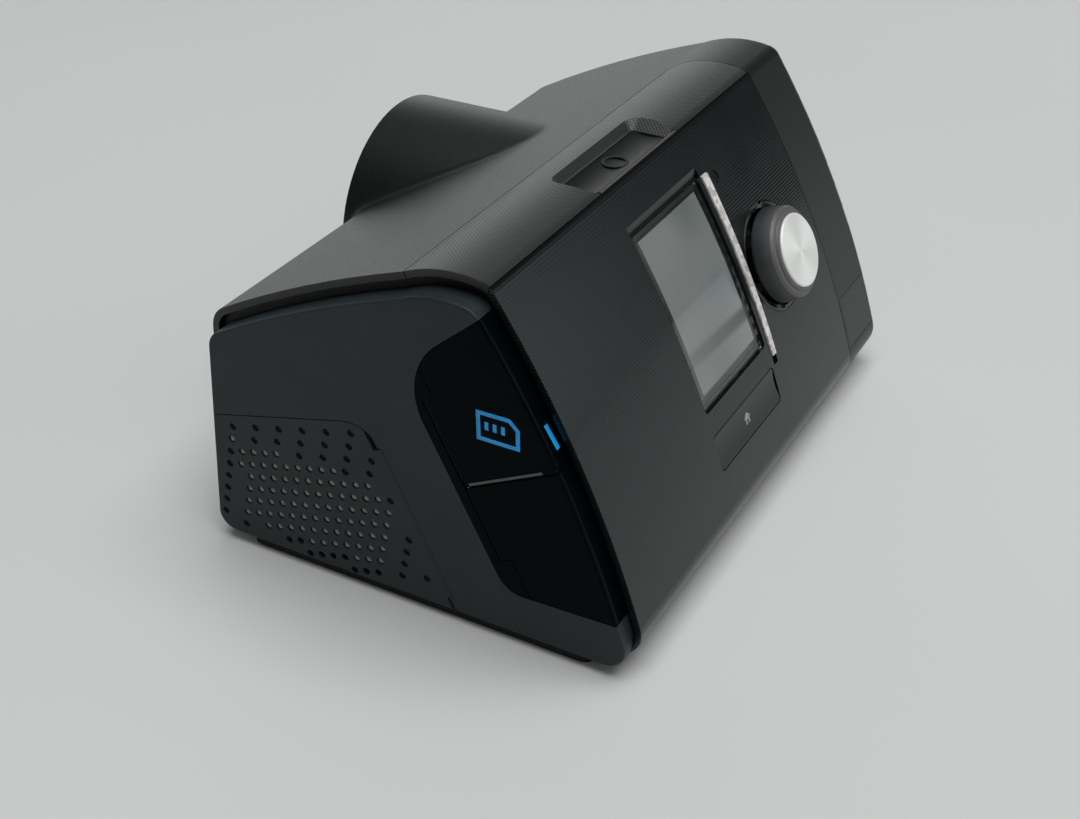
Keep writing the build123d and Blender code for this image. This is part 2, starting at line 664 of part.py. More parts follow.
def foot_strips():
    """Two long rubber feet under the base pan."""
    solids = []
    for side in (-1, 1):
        x0, x1 = sorted((side * (RIGHT - 2.4), side * (RIGHT - 12.0)))
        y0, y1 = FEET_FRONT - DEPTH / 2, DEPTH / 2 - FEET_REAR
        low = block(x0, x1, y0, y1, 0.0, UNDERSIDE + PANEL_INSET - PANEL_DROP - 0.8)
        low = fillet(low.edges().filter_by(Axis.Z), 4.0)
        high0, high1 = sorted((side * (abs(RIM_X) - 0.6), side * (RIGHT - 12.0)))
        high = block(high0, high1, y0 + 5.0, y1 - 2.0, 1.0, UNDERSIDE)
        solids.append(low + high)
    return Compound(children=solids)


# ================================================================ left end
HINGE_DIR = heading(HINGE_RISE)
ACROSS = (-HINGE_DIR[1], HINGE_DIR[0])       # from the flap hinge towards the front
FILTER_DIR = heading(FILTER_HINGE_RISE)
FILTER_ACROSS = (FILTER_DIR[1], -FILTER_DIR[0])
HINGE_X = LEFT + BARREL_R
BAY_EDGE = along(HINGE_FOOT, ACROSS, -HINGE_IN)
BAY_CORNER = crossing(BAY_EDGE, HINGE_DIR, BAY_TOP_AT, unit((1, BAY_TOP_SLOPE)))
CARD_BARREL = (BARREL_START, math.dist(BAY_EDGE, BAY_CORNER) - BARREL_CORNER)


def flap_point(a, b):
    """(Y, Z) at a along the flap hinge and b towards the front."""
    return along(along(HINGE_FOOT, HINGE_DIR, a), ACROSS, b)


def filter_point(a, b):
    """(Y, Z) at a along the filter hinge and b towards the rear."""
    return along(along(FILTER_HINGE_AT, FILTER_DIR, a), FILTER_ACROSS, b)


def access_region(out=0.0):
    """Outline of the access bay on the side panel."""
    lower = crossing(BAY_EDGE, HINGE_DIR, BAY_FLOOR_AT, unit((-1, 0.036)))
    far_top = along(BAY_TOP_AT, unit((1, BAY_TOP_SLOPE)), -30)
    far_low = along(BAY_FLOOR_AT, unit((-1, 0.036)), 50)
    face = grow(poly(BAY_CORNER, lower, far_low, far_top), out)
    return round_near(face, [(BAY_CORNER, BAY_TOP_ROUND + out), (lower, BAY_LOW_ROUND + out)])


def filter_region(out=0.0):
    """Outline of the filter cover on the side panel."""
    tilt = heading(180 - FILTER_TOP_TILT)
    corner = crossing(FILTER_TOP_AT, tilt, FILTER_HINGE_AT, FILTER_DIR)
    far = along(FILTER_TOP_AT, tilt, -30)
    low = along(FILTER_HINGE_AT, FILTER_DIR, -80)
    face = grow(poly(corner, low, (far[0], low[1]), far), out)
    return round_near(face, [(corner, FILTER_CORNER + out)])


def panel_shell():
    """The side panel with its covers, as one thin dish."""
    solid = prism(panel_outline(), LEFT, FRAME_X - FIT)
    solid = fillet(solid.faces().sort_by(Axis.X)[0].edges(), 0.8)
    hollow = prism(panel_outline(PANEL_WALL), LEFT + PLATE, FRAME_X + 1)
    shell = solid - hollow
    skin = prism(outline(-5), RIM_X - BACKING, FRAME_X + 1) - prism(outline(WALL + BACKING), LEFT, 0)
    return shell - skin


def inside(point, face):
    """Whether a flat face holds the point."""
    return face.is_inside(Vector(*point, 0))


def hole_grid():
    """Centres of the filter cover's holes and dimples: lists of (Y, Z)."""
    row_dir = heading(180 - FILTER_TOP_TILT)
    row_up = (row_dir[1], -row_dir[0])
    vent = poly(*VENT)
    cover = grow(filter_region(), -HOLE_MARGIN) & Pos(-HOLE_R, HOLE_R) * panel_outline(HOLE_R)
    holes, dimples = [], []
    for row in range(-4, 10):
        for step in range(-4, 18):
            start = along(HOLE_START, row_up, row * HOLE_ROW)
            point = along(start, row_dir, (step + row % 2 / 2) * HOLE_PITCH)
            if inside(point, vent):
                holes.append(point)
            elif inside(point, cover) and (step + row // 2) % 2 == 0:
                dimples.append(point)
    return holes, dimples


def octagon_bar(y, z, x0, x1):
    """Bar along X that cuts one hole of the pattern."""
    return prism(Pos(y, z) * RegularPolygon(HOLE_R, HOLE_SIDES), x0, x1)


def barrel(point_at, span, r, x=HINGE_X):
    """A round bar on a hinge line of the side panel."""
    p, q = point_at(span[0], 0), point_at(span[1], 0)
    return rod_between((x, *p), (x, *q), r)


def strip(point_at, a0, a1, b0, b1):
    """A (Y, Z) rectangle laid out in a hinge's own directions."""
    return poly(point_at(a0, b0), point_at(a1, b0), point_at(a1, b1), point_at(a0, b1))


def filter_lugs():
    """Blocks of the side panel at the two ends of the filter cover's hinge."""
    low, high = FILTER_BARREL
    blocks = strip(filter_point, low - FILTER_LUG, low - SEAM, -3.0, BARREL_R)
    blocks += strip(filter_point, high + SEAM, high + FILTER_LUG, -3.0, BARREL_R)
    return prism(blocks, LEFT + 0.5, LEFT + 3.4) & prism(panel_outline(0.5), LEFT, FRAME_X)


def side_panel(shell):
    """Matt side panel with its posts and the lugs of the filter hinge."""
    body = shell - prism(access_region(), LEFT - 1, FRAME_X + 2)
    body -= prism(filter_region(SEAM / 2), LEFT - 1, FRAME_X + 2)
    body -= barrel(filter_point, (FILTER_BARREL[0] - SEAM, FILTER_BARREL[1] + SEAM), BARREL_R + SEAM)
    corners = [(-15.0, HEIGHT - 15.5), (DEPTH / 2 - 23.0, HEIGHT - 42.0), (31.0 - DEPTH / 2, 12.0)]
    for y, z in corners + [MID_POST]:
        body += rod_x(y, z, 2.4, LEFT + PLATE - 0.1, FRAME_X)
    body += filter_lugs()
    return body - filter_hinge_pin()


def filter_hinge_pin():
    return barrel(filter_point, (FILTER_BARREL[0] - 3.4, FILTER_BARREL[1] + 3.4), ROD_R)


def filter_cover(shell):
    """Hinged cover of the air filter, with through-holes and blind dimples."""
    body = shell & prism(filter_region(-SEAM / 2), LEFT - 1, FRAME_X + 2)
    edge = strip(filter_point, -90, 20, -5, 0)
    body -= prism(edge, LEFT - 1, FRAME_X + 2)
    body -= prism(strip(filter_point, -90, -20, -5, WALL_START), LEFT + PLATE, FRAME_X + 2)
    body += barrel(filter_point, FILTER_BARREL, BARREL_R)
    low, high = FILTER_BARREL
    body -= prism(strip(filter_point, -90, low, -4.0, BARREL_R + SEAM), LEFT - 1, FRAME_X + 2)
    corner = strip(filter_point, high, high + FILTER_LUG + SEAM, -4.0, CORNER_CLEAR)
    body -= prism(corner, LEFT - 1, FRAME_X + 2)
    body -= barrel(filter_point, (FILTER_BARREL[0] - 1, FILTER_BARREL[1] + 1), ROD_R + RUN)
    holes, dimples = hole_grid()
    cuts = [octagon_bar(y, z, LEFT - 1, LEFT + PLATE + 1) for y, z in holes]
    cuts += [octagon_bar(y, z, LEFT - 1, LEFT + DIMPLE_DEPTH) for y, z in dimples]
    return body - cuts


def filter_face(inset):
    """Section of the air filter."""
    return grow(filter_region(), -inset) & panel_outline(inset)


def air_filter():
    return prism(filter_face(FILTER_EDGE), FRAME_X - FILTER_T, FRAME_X)


def side_frame():
    """Inner plate of the left end: seat of the filter and of the access bay."""
    body = prism(outline(WALL + FIT), FRAME_X, FRAME_X + FRAME_T)
    body -= prism(filter_face(FILTER_EDGE + 3.0), FRAME_X - 1, FRAME_X + FRAME_T + 1)
    window = access_region(-4.0) & panel_outline(PANEL_WALL + 4.0)
    body -= prism(window, FRAME_X - 1, FRAME_X + FRAME_T + 1)
    for k in (1, 2):
        y = 2.0 + k * 20.0
        rib = prism(filter_face(FILTER_EDGE + 2.9), FRAME_X + 0.4, FRAME_X + FRAME_T)
        body += rib & block(LEFT, 0, y - 0.9, y + 0.9, 0, HEIGHT)
    return body


def access_frame():
    """Gloss fixed rim and floor of the access bay, with the lugs of the flap hinge."""
    region = access_region(-SEAM) & panel_outline(PANEL_WALL + BACKING)
    solid = prism(region, LEFT, FRAME_X)
    rim = solid & prism(strip(flap_point, -80, 80, -60, -SEAM / 2), LEFT - 1, FRAME_X + 1)
    rim -= barrel(flap_point, (ADAPTER_BARREL[0] - SEAM, CARD_BARREL[1] + SEAM), BARREL_R + SEAM)
    for a0, a1 in ((CARD_BARREL[1] + SEAM, 80), (-80, ADAPTER_BARREL[0] - SEAM)):
        rim += solid & prism(strip(flap_point, a0, a1, -60, HINGE_BLOCK), LEFT - 1, FRAME_X + 1)
    floor = solid & block(LEFT + 5.2, LEFT + 6.6, -DEPTH, DEPTH, 0, HEIGHT)
    wall_face = region - grow(region, -1.2)
    wall = prism(wall_face, LEFT + PLATE + SEAM, FRAME_X)
    body = rim + floor + wall
    half = DIVIDER / 2
    rib = prism(strip(flap_point, -half, half, -2.5, 60), LEFT + 0.4, LEFT + 6.6)
    body += rib & prism(panel_outline(0.4), LEFT, FRAME_X)
    body -= access_hinge_rod()
    slot = strip(flap_point, CARD_A - CARD_W / 2 - 0.5, CARD_A + CARD_W / 2 + 0.5, CARD_B - 1.6, CARD_B + 1.6)
    body -= prism(slot, LEFT, FRAME_X + 1)
    port = strip(flap_point, -22.0, -8.0, 9.0, 17.0)
    return body - prism(port, LEFT + 4, FRAME_X + 1)


def flap(shell, span, a0, a1):
    """One gloss flap of the access bay, between a0 and a1 along the hinge."""
    region = access_region(-SEAM) & strip(flap_point, a0, a1, 0, 80)
    body = shell & prism(region, LEFT - 1, FRAME_X + 2)
    body += barrel(flap_point, span, BARREL_R)
    past = (-90, span[0]) if span[0] < 0 else (span[1], 90)
    body -= prism(strip(flap_point, *past, -4.0, HINGE_BLOCK + SEAM), LEFT - 1, FRAME_X + 2)
    return body - barrel(flap_point, (span[0] - 1, span[1] + 1), ROD_R + RUN)


def card_cover(shell):
    return flap(shell, CARD_BARREL, SLIT / 2, 80)


def adapter_cover(shell):
    return flap(shell, ADAPTER_BARREL, -80, -SLIT / 2)


def access_hinge_rod():
    return barrel(flap_point, (ADAPTER_BARREL[0] - LUG + 0.8, CARD_BARREL[1] + LUG - 0.8), ROD_R)


def memory_card():
    """Memory card in its socket, with the clipped corner."""
    half = CARD_W / 2
    body = prism(strip(flap_point, CARD_A - half, CARD_A + half, CARD_B - CARD_T / 2, CARD_B + CARD_T / 2),
                 CARD_X, CARD_X + CARD_L)
    clip = Plane(origin=(CARD_X + CARD_L, *flap_point(CARD_A + half, CARD_B)), x_dir=(1, 0, 0),
                 z_dir=(0, *ACROSS)) * Rot(0, 0, 45) * Box(6, 6, 6)
    return body - clip


def card_socket():
    """Socket around the inner half of the memory card."""
    x0 = FRAME_X + FRAME_T + 2.0
    x1 = CARD_X + CARD_L + CARD_PUSH + 2.0
    half = CARD_W / 2
    body = prism(strip(flap_point, CARD_A - half - 2, CARD_A + half + 2, CARD_B - 2.4, CARD_B + 2.4), x0, x1)
    hollow = prism(strip(flap_point, CARD_A - half - 0.2, CARD_A + half + 0.2, CARD_B - CARD_T / 2 - 0.15,
                         CARD_B + CARD_T / 2 + 0.15), x0 - 1, x1 - 1.2)
    return body - hollow


def card_board():
    """Board with the card socket and the adapter port soldered to it."""
    x0 = FRAME_X + FRAME_T
    board = prism(strip(flap_point, -30.0, 34.0, CARD_B + 2.4, CARD_B + 2.4 + BOARD_T), x0, x0 + 30)
    port = prism(strip(flap_point, -21.5, -8.5, 9.6, CARD_B + 2.4), x0, x0 + 14)
    mouth = prism(strip(flap_point, -20.0, -10.0, 11.0, CARD_B + 1.0), x0 - 1, x0 + 11)
    return board + (port - mouth) + card_socket()


# ================================================================ front controls
def screen_window():
    """Glass over the display, bowed like the front."""
    slab = layer(WINDOW_DEPTH, WINDOW_DEPTH + WINDOW_T)
    shape = RectangleRounded(SCREEN_W - 2 * FIT, SCREEN_H - 2 * FIT, 1.4)
    return slab & through(front_plane(SCREEN_X, SCREEN_Z), shape)


def screen_frame():
    """Frame that holds the window and the display behind the front panel."""
    at = dial_local(SCREEN_X, SCREEN_Z)
    opening = Pos(*at) * Rectangle(SCREEN_W + 3.2, SCREEN_H + 3)
    behind = through(dial_plane(), opening, front=4, back=DISPLAY_DEPTH)
    body = behind & prism(outline(WALL), RIM_X, RIGHT)
    plane = front_plane(SCREEN_X, SCREEN_Z)
    return body - through(plane, RectangleRounded(DISPLAY_W, DISPLAY_H, 0.8))


def display_module():
    """Flat colour display between its frame and the board."""
    at = dial_local(SCREEN_X, SCREEN_Z)
    shape = Pos(*at) * Rectangle(DISPLAY_W + 4, DISPLAY_H + 3)
    return through(dial_plane(), shape, front=-DISPLAY_DEPTH, back=BOARD_DEPTH)


def home_button():
    """Wide home key below the screen, with the rim that keeps it behind the panel."""
    plane = front_plane(SCREEN_X, HOME_Z)
    shape = RectangleRounded(HOME_W - 2 * KEY_GAP, HOME_H - 2 * KEY_GAP, 1.3)
    body = layer(0.1, 3.2) & through(plane, shape)
    rim = RectangleRounded(HOME_W + 2 * KEY_RIM, HOME_H + 2 * KEY_RIM, 1.5)
    body += layer(WALL + 0.2, 3.4) & through(plane, rim)
    body -= plane * (Pos(0, 0, HOME_DISH_R - HOME_DISH) * Rot(0, 90, 0) * Cylinder(HOME_DISH_R, HOME_W + 4))
    at = dial_local(SCREEN_X, HOME_Z)
    foot = 2 - BOARD_DEPTH + KEY_TRAVEL + 0.1
    stem = through(dial_plane(), Pos(*at) * RectangleRounded(8, 5, 1), front=-3.0, back=-foot)
    return body + (stem & prism(outline(2.5), RIM_X, RIGHT))


def trim_strip():
    """Bright strip beside the screen, a little proud of the panel."""
    return layer(-TRIM_PROUD, WALL / 2) & trim_bar(0)


def light_sensor():
    """Lens of the ambient light sensor, on a stalk from the display board."""
    plane = front_plane(SENSOR_X, SENSOR_Z)
    lens = through(plane, Circle(SENSOR_R), front=-0.3, back=WALL + 1)
    return lens + through(plane, Circle(SENSOR_R - 0.6), front=-WALL, back=5.0)


def dial_plane():
    return front_plane(DIAL_X, DIAL_Z)


def dial_local(x, z):
    """A point of the front surface, in the dial plane's own (X, Y)."""
    point = dial_plane().to_local_coords(Vector(x, front_y(z), z))
    return (point.X, point.Y)


def turned(plane, points):
    """A body turned about a plane's normal from (radius, height) points."""
    face = make_face(Polyline(*points, close=True))
    body = revolve(Plane.XZ * face, axis=Axis.Z)
    return plane * body


def dial_ring():
    """Sunk ring around the dial, with a shallow scallop above and below."""
    r0, r1 = DIAL_R + DIAL_BORE_GAP, DIAL_RING_R
    ring = turned(dial_plane(), [(r0, -WALL), (r1, -WALL), (r1, -0.3), (r1 - 0.6, -0.1),
                                 (r0 + 0.3, -1.3), (r0, -1.4)])
    neck = turned(dial_plane(), [(r0, -WALL - 2), (r1, -WALL - 2), (r1, -WALL + 0.1), (r0, -WALL + 0.1)])
    lip = turned(dial_plane(), [(r0, -WALL - 2), (r1 + 2.2, -WALL - 2), (r1 + 2.2, 0), (r0, 0)])
    body = ring + neck + (lip & prism(outline(WALL), RIM_X, RIGHT))
    for side in (-1, 1):
        body -= dial_plane() * (Pos(0, side * r1, 0.7) * Box(8.0, 5.0, 2.6))
    return body


def dial_grip():
    """Soft grip of the dial, with its stepped crown."""
    r = DIAL_R
    body = turned(dial_plane(), [
        (0, -0.5), (DIAL_NECK_R, -0.5), (DIAL_NECK_R, DIAL_SKIRT), (r + DIAL_FLARE, DIAL_SKIRT),
        (r + DIAL_FLARE, DIAL_SKIRT + 0.8), (r, DIAL_PROUD - 0.8), (r - 0.8, DIAL_PROUD),
        (r - 1.9, DIAL_PROUD + 0.2), (r - 2.2, DIAL_PROUD + 0.9), (DIAL_FACE_R, DIAL_PROUD + 1.2),
        (DIAL_FACE_R, DIAL_FACE_PROUD - 1.2), (0, DIAL_FACE_PROUD - 1.2)])
    return body - dial_shaft_solid(0.0)


def dial_shaft_solid(out):
    return dial_plane() * (Pos(0, 0, -7.3) * Cylinder(
        SHAFT_R + out, 13.3, align=(Align.CENTER, Align.CENTER, Align.MIN)))


def dial_shaft():
    return dial_shaft_solid(0.0)


def dial_face():
    """Turned metal face of the dial."""
    r, top = DIAL_FACE_R, DIAL_FACE_PROUD
    profile = [(0, top - 1.2), (r, top - 1.2), (r, top - 0.3), (r - 0.4, top), (0, top + 0.1)]
    return turned(dial_plane(), profile)


def encoder():
    """Rotary encoder on the display board, with the dial's push switch."""
    plane = dial_plane()
    body = through(plane, Rectangle(13, 13), front=-3.4, back=BOARD_DEPTH)
    upright = (Align.CENTER, Align.CENTER, Align.MIN)
    body += plane * (Pos(0, 0, -3.6) * Cylinder(4.6, 1.0, align=upright))
    body -= plane * (Pos(0, 0, -9.0) * Cylinder(SHAFT_R + RUN, 9, align=upright))
    return body


def encoder_plunger():
    """Small disc that the dial's shaft pushes on."""
    return dial_plane() * (Pos(0, 0, -7.9) * Cylinder(
        SHAFT_R - 0.1, 0.6 - 0.05, align=(Align.CENTER, Align.CENTER, Align.MIN)))


def display_board():
    """Board behind the front panel."""
    plane = dial_plane()
    shape = Pos(*BOARD_AT) * Rectangle(BOARD_W, BOARD_H)
    body = through(plane, shape, front=-BOARD_DEPTH, back=BOARD_DEPTH + BOARD_T)
    for x, y in display_posts():
        body -= through(plane, Pos(x, y) * Circle(SCREW_R))
    return body


# ================================================================ air path
def intake_box():
    """Intake chamber behind the filter, open towards it."""
    x0, x1 = BOX_X
    w = BOX_WALL
    body = block(x0, x1, *BOX_Y, *BOX_Z)
    body -= block(x0 - 1, x1 - w, BOX_Y[0] + w, BOX_Y[1] - w, BOX_Z[0] + w, BOX_Z[1] - w)
    side = 2 * DUCT_R
    body += Pos(INTAKE_X, INTAKE_Y, BOX_Z[1]) * Box(side + 2 * w, side + 2 * w, 2.8)
    return body - Pos(INTAKE_X, INTAKE_Y, BOX_Z[1]) * Box(side, side, 12)


def muffler_foam():
    """Foam lining on three walls of the intake chamber."""
    x0, x1 = BOX_X
    w = BOX_WALL + FIT
    body = block(x0 + 1, x1 - w, BOX_Y[0] + w, BOX_Y[1] - w, BOX_Z[0] + w, BOX_Z[1] - w - 12)
    return body - block(x0, x1 - w - 7, BOX_Y[0] + w + 7, BOX_Y[1] - w - 7, BOX_Z[0] + w + 7, BOX_Z[1])


def duct_shape(inset):
    """Side view (X, Z) of the inlet duct, drawn in by a wall."""
    half = DUCT_R - FIT - inset
    low = BOX_Z[1] - 4 - inset
    foot = VOLUTE_Z1 + VOLUTE_T + FIT - inset
    x0, x1, top = INTAKE_X - half, BLOWER_X + half, DUCT_Z + half
    inner = DUCT_Z - half
    face = poly((x0, low), (x0, top), (x1, top), (x1, foot), (x1 - 2 * half, foot), (x1 - 2 * half, inner),
                (x0 + 2 * half, inner), (x0 + 2 * half, low))
    return round_near(face, [((x0, top), DUCT_BEND), ((x1, top), DUCT_BEND), ((x1 - 2 * half, inner), 3.0),
                             ((x0 + 2 * half, inner), 3.0)], inset)


def inlet_duct():
    """Square duct from the intake chamber to the blower's eye."""
    half = DUCT_R - FIT
    plane = Plane(origin=(0, INTAKE_Y + half, 0), x_dir=(1, 0, 0), z_dir=(0, -1, 0))
    outer = extrude(plane * duct_shape(0), amount=2 * half)
    inner = extrude(plane.offset(-DUCT_WALL) * duct_shape(DUCT_WALL), amount=2 * (half - DUCT_WALL))
    ends = block(LEFT, 0, INTAKE_Y - half + DUCT_WALL, INTAKE_Y + half - DUCT_WALL, 0, BOX_Z[1])
    ends &= block(INTAKE_X - half + DUCT_WALL, INTAKE_X + half - DUCT_WALL, -DEPTH, DEPTH, 0, HEIGHT)
    return outer - inner - ends


def scroll_face(extra):
    """Scroll of the blower: four quarter arcs, each wider than the last towards the outlet."""
    step = VOLUTE_GROW / 4
    edges = []
    x, y = BLOWER_X - step / 2, BLOWER_Y - step / 2
    radius = VOLUTE_R + extra + VOLUTE_GROW
    for quarter in range(4):
        angle = -90 - 90 * quarter
        edges.append(CenterArc((x, y), radius, angle, -90))
        turn = heading(angle - 90)
        x, y, radius = x + step * turn[0], y + step * turn[1], radius - step
    start, end = edges[0] @ 0, edges[-1] @ 1
    return make_face(edges + [Line(end, start)])


def volute_exit():
    """Axis of the blower's outlet pipe: (Y, Z)."""
    return PORT_IN


def volute_solid(extra):
    """Scroll and outlet pipe of the blower, grown by extra."""
    y, z = volute_exit()
    face = Pos(0, 0, VOLUTE_Z0 - extra) * scroll_face(extra)
    body = extrude(face, amount=VOLUTE_Z1 - VOLUTE_Z0 + 2 * extra)
    return body + rod_x(y, z, PORT_R - 0.6 + extra, BLOWER_X, BAY_X0 + (0 if extra else 5))


def volute():
    body = volute_solid(VOLUTE_T)
    body -= volute_solid(0)
    body -= rod_z(BLOWER_X, BLOWER_Y, EYE_R, VOLUTE_Z1 - 1, VOLUTE_Z1 + 5)
    body += rod_z(BLOWER_X, BLOWER_Y, STATOR_R + 2, STATOR_Z0 - 2, VOLUTE_Z0 - VOLUTE_T + 0.1)
    body -= rod_z(BLOWER_X, BLOWER_Y, STATOR_R + FIT, STATOR_Z0, STATOR_Z1 + FIT)
    for z in (STATOR_Z0 - 2, VOLUTE_Z0 - BEARING_T - VOLUTE_T):
        body -= rod_z(BLOWER_X, BLOWER_Y, BEARING_R, z, z + BEARING_T)
    body -= rod_z(BLOWER_X, BLOWER_Y, ROTOR_R + 0.8, STATOR_Z0 - 3, VOLUTE_Z1 - 2)
    for x, y in blower_posts():
        foot = rod_z(x, y, 4.0, STATOR_Z0 - 2, STATOR_Z0 + 1)
        dx, dy = x - BLOWER_X, y - BLOWER_Y
        reach = math.hypot(dx, dy)
        arm = Pos((x + BLOWER_X) / 2, (y + BLOWER_Y) / 2, STATOR_Z0 - 0.5) * Rot(
            0, 0, math.degrees(math.atan2(dy, dx))) * Box(reach, 6, 3)
        arm -= rod_z(BLOWER_X, BLOWER_Y, STATOR_R + 1, STATOR_Z0 - 9, STATOR_Z0 + 9)
        body += foot + arm
    return body


def blower_posts():
    reach = STATOR_R + 8
    return [(BLOWER_X + reach * c, BLOWER_Y + reach * s)
            for c, s in (heading(45 + 90 * k) for k in range(4))]


def volute_lower(whole):
    cut = block(LEFT, BAY_X0 + 10, -DEPTH, DEPTH, 0, volute_exit()[1])
    return whole & cut


def volute_upper(whole):
    cut = block(LEFT, BAY_X0 + 10, -DEPTH, DEPTH, volute_exit()[1], HEIGHT)
    return whole & cut


def impeller():
    """Closed-back impeller with swept blades and an inlet ring."""
    z0 = VOLUTE_Z0 + 1.0
    z1 = VOLUTE_Z1 - 1.2
    hub = rod_z(BLOWER_X, BLOWER_Y, 5.0, z0, z1 - 3)
    body = rod_z(BLOWER_X, BLOWER_Y, IMPELLER_R, z0, z0 + 1.2) + hub
    for k in range(BLADES):
        angle = 360 * k / BLADES
        root = heading(angle)
        tip = heading(angle - 38)
        mid = heading(angle - 24)
        p0 = (5.0 * root[0] * 0.8, 5.0 * root[1] * 0.8)
        p1 = (12.5 * mid[0], 12.5 * mid[1])
        p2 = ((IMPELLER_R - 0.3) * tip[0], (IMPELLER_R - 0.3) * tip[1])
        curve = ThreePointArc(p0, p1, p2)
        blade = extrude(Pos(BLOWER_X, BLOWER_Y, z0 + 1) * trace(curve, line_width=1.0), amount=z1 - z0 - 3.0)
        body += blade
    ring = rod_z(BLOWER_X, BLOWER_Y, IMPELLER_R, z1 - 2.4, z1 - 1.2)
    body += ring - rod_z(BLOWER_X, BLOWER_Y, EYE_R + 1, z1 - 4, z1)
    return body - rod_z(BLOWER_X, BLOWER_Y, ROTOR_R, z0 - 1, z1)


def rotor_shaft():
    """Rotor shaft with its magnet."""
    shaft = rod_z(BLOWER_X, BLOWER_Y, ROTOR_R, STATOR_Z0 - 2, VOLUTE_Z1 - 4.4)
    return shaft + rod_z(BLOWER_X, BLOWER_Y, 6.5, STATOR_Z0 + 3, STATOR_Z1 - 2)


def rotor_bearings():
    """Ball bearings at the two ends of the motor, drawn as rings."""
    rings = []
    for z in (STATOR_Z0 - 2, VOLUTE_Z0 - BEARING_T - VOLUTE_T):
        rings.append(rod_z(BLOWER_X, BLOWER_Y, BEARING_R, z, z + BEARING_T)
                     - rod_z(BLOWER_X, BLOWER_Y, ROTOR_R + 0.02, z - 1, z + BEARING_T + 1))
    return Compound(children=rings)


def motor_stator():
    """Stator with its wound teeth around the magnet."""
    z0, z1 = STATOR_Z0 + 2, STATOR_Z1 - 1
    body = rod_z(BLOWER_X, BLOWER_Y, STATOR_R, z0, z1)
    body -= rod_z(BLOWER_X, BLOWER_Y, STATOR_R - 2, z0 - 1, z1 + 1)
    for k in range(6):
        tooth = Pos(11.5, 0, (z0 + z1) / 2) * Box(9.0, 5.0, z1 - z0 - 2)
        body += Pos(BLOWER_X, BLOWER_Y, 0) * Rot(0, 0, 60 * k) * tooth
    return body - rod_z(BLOWER_X, BLOWER_Y, 7.1, z0 - 1, z1 + 1)


def blower_mounts():
    """Rubber buffers between the blower's feet and the base pan."""
    return Compound(children=[rod_z(x, y, 3.4, STATOR_Z0 - 8, STATOR_Z0 - 2) for x, y in blower_posts()])


def flow_sensor():
    """Flow sensor on the blower's outlet pipe."""
    y, z = volute_exit()
    body = block(10, 26, y - 5, y + 5, z + 4, z + PORT_R + 8)
    return body - rod_x(y, z, PORT_R - 0.6 + VOLUTE_T, 9, 27)


def outlet_elbow():
    """Square quarter bend from the tub's port to the outlet."""
    bend = BAY_X0 - SHROUD_X - FIT
    half = OUTLET_R - 0.6
    centre = Pos(BAY_X0 - FIT, PORT_OUT[0] + bend, SHROUD_Z)
    quarter = Pos(-50, -50) * Rectangle(100, 100)
    outer = Circle(bend + half) - Circle(bend - half)
    inner = Circle(bend + half - DUCT_WALL) - Circle(bend - half + DUCT_WALL)
    shell = extrude(outer & quarter, amount=half, both=True)
    return centre * (shell - extrude(inner & quarter, amount=half - DUCT_WALL, both=True))


def outlet_tube():
    """Outlet tube of 22 mm with a chamfered mouth, seated with its flange on the shroud's floor."""
    plane = Plane(origin=(SHROUD_X, SHROUD_FLOOR_Y, SHROUD_Z), x_dir=(1, 0, 0), z_dir=(0, 1, 0))
    length = OUTLET_END_Y - SHROUD_FLOOR_Y
    r0, r1 = OUTLET_BORE, OUTLET_R
    return turned(plane, [(r0, -WALL), (r1, -WALL), (r1, 0), (r1 + 1.8, 0), (r1 + 1.8, 2.0), (r1, 2.6),
                          (r1, length - 0.6), (r1 - 0.6, length), (r0, length)])


def outlet_seal():
    """Soft ring between the elbow and the shroud's floor."""
    y1 = SHROUD_FLOOR_Y - WALL
    y0 = y1 - SEAL_T
    ring = Pos(SHROUD_X, (y0 + y1) / 2, SHROUD_Z) * Box(2 * OUTLET_R, y1 - y0, 2 * OUTLET_R)
    return ring - rod_y(SHROUD_X, SHROUD_Z, OUTLET_BORE, y0 - 1, y1 + 1)


# ================================================================ power inlet
def clip_pin():
    """Axis of the retention clip: (Y, Z)."""
    return (DEPTH / 2 - 3.0 - RECESS_D / 2 - 0.4, BASE_TOP + RECESS_H - 4.0)


def retention_clip():
    """Hoop that folds down around the power plug."""
    y, z = clip_pin()
    half = CLIP_T / 2
    body = block(POWER_X - CLIP_W / 2, POWER_X + CLIP_W / 2, y - half, y + half, z - CLIP_H, z)
    body -= block(POWER_X - CLIP_W / 2 + CLIP_BAR, POWER_X + CLIP_W / 2 - CLIP_BAR, y - 5, y + 5,
                  z - CLIP_H + CLIP_BAR, z + 5)
    for side in (-1, 1):
        x0, x1 = sorted((POWER_X + side * (CLIP_W / 2 - CLIP_BAR), POWER_X + side * CLIP_W / 2))
        body += rod_x(y, z, half, x0, x1)
        p0, p1 = sorted((POWER_X + side * CLIP_W / 2, POWER_X + side * (RECESS_W / 2 + 1.0)))
        body += rod_x(y, z, CLIP_PIN_R, p0, p1)
    return body


def power_inlet():
    """Round power socket behind the rear wall."""
    y1 = DEPTH / 2 - 3.0 - RECESS_D
    shell = block(POWER_X - 8, POWER_X + 8, y1 - WALL - 13, y1 - WALL, POWER_Z - 8, POWER_Z + 8)
    shell += rod_y(POWER_X, POWER_Z, JACK_R + 1.5, y1 - WALL - 0.1, y1)
    return shell - rod_y(POWER_X, POWER_Z, JACK_R, y1 - 12, y1 + 1)


def power_pin():
    """Centre pin of the power socket."""
    y1 = DEPTH / 2 - 3.0 - RECESS_D
    return rod_y(POWER_X, POWER_Z, 1.1, y1 - 12, y1 - 1.5)


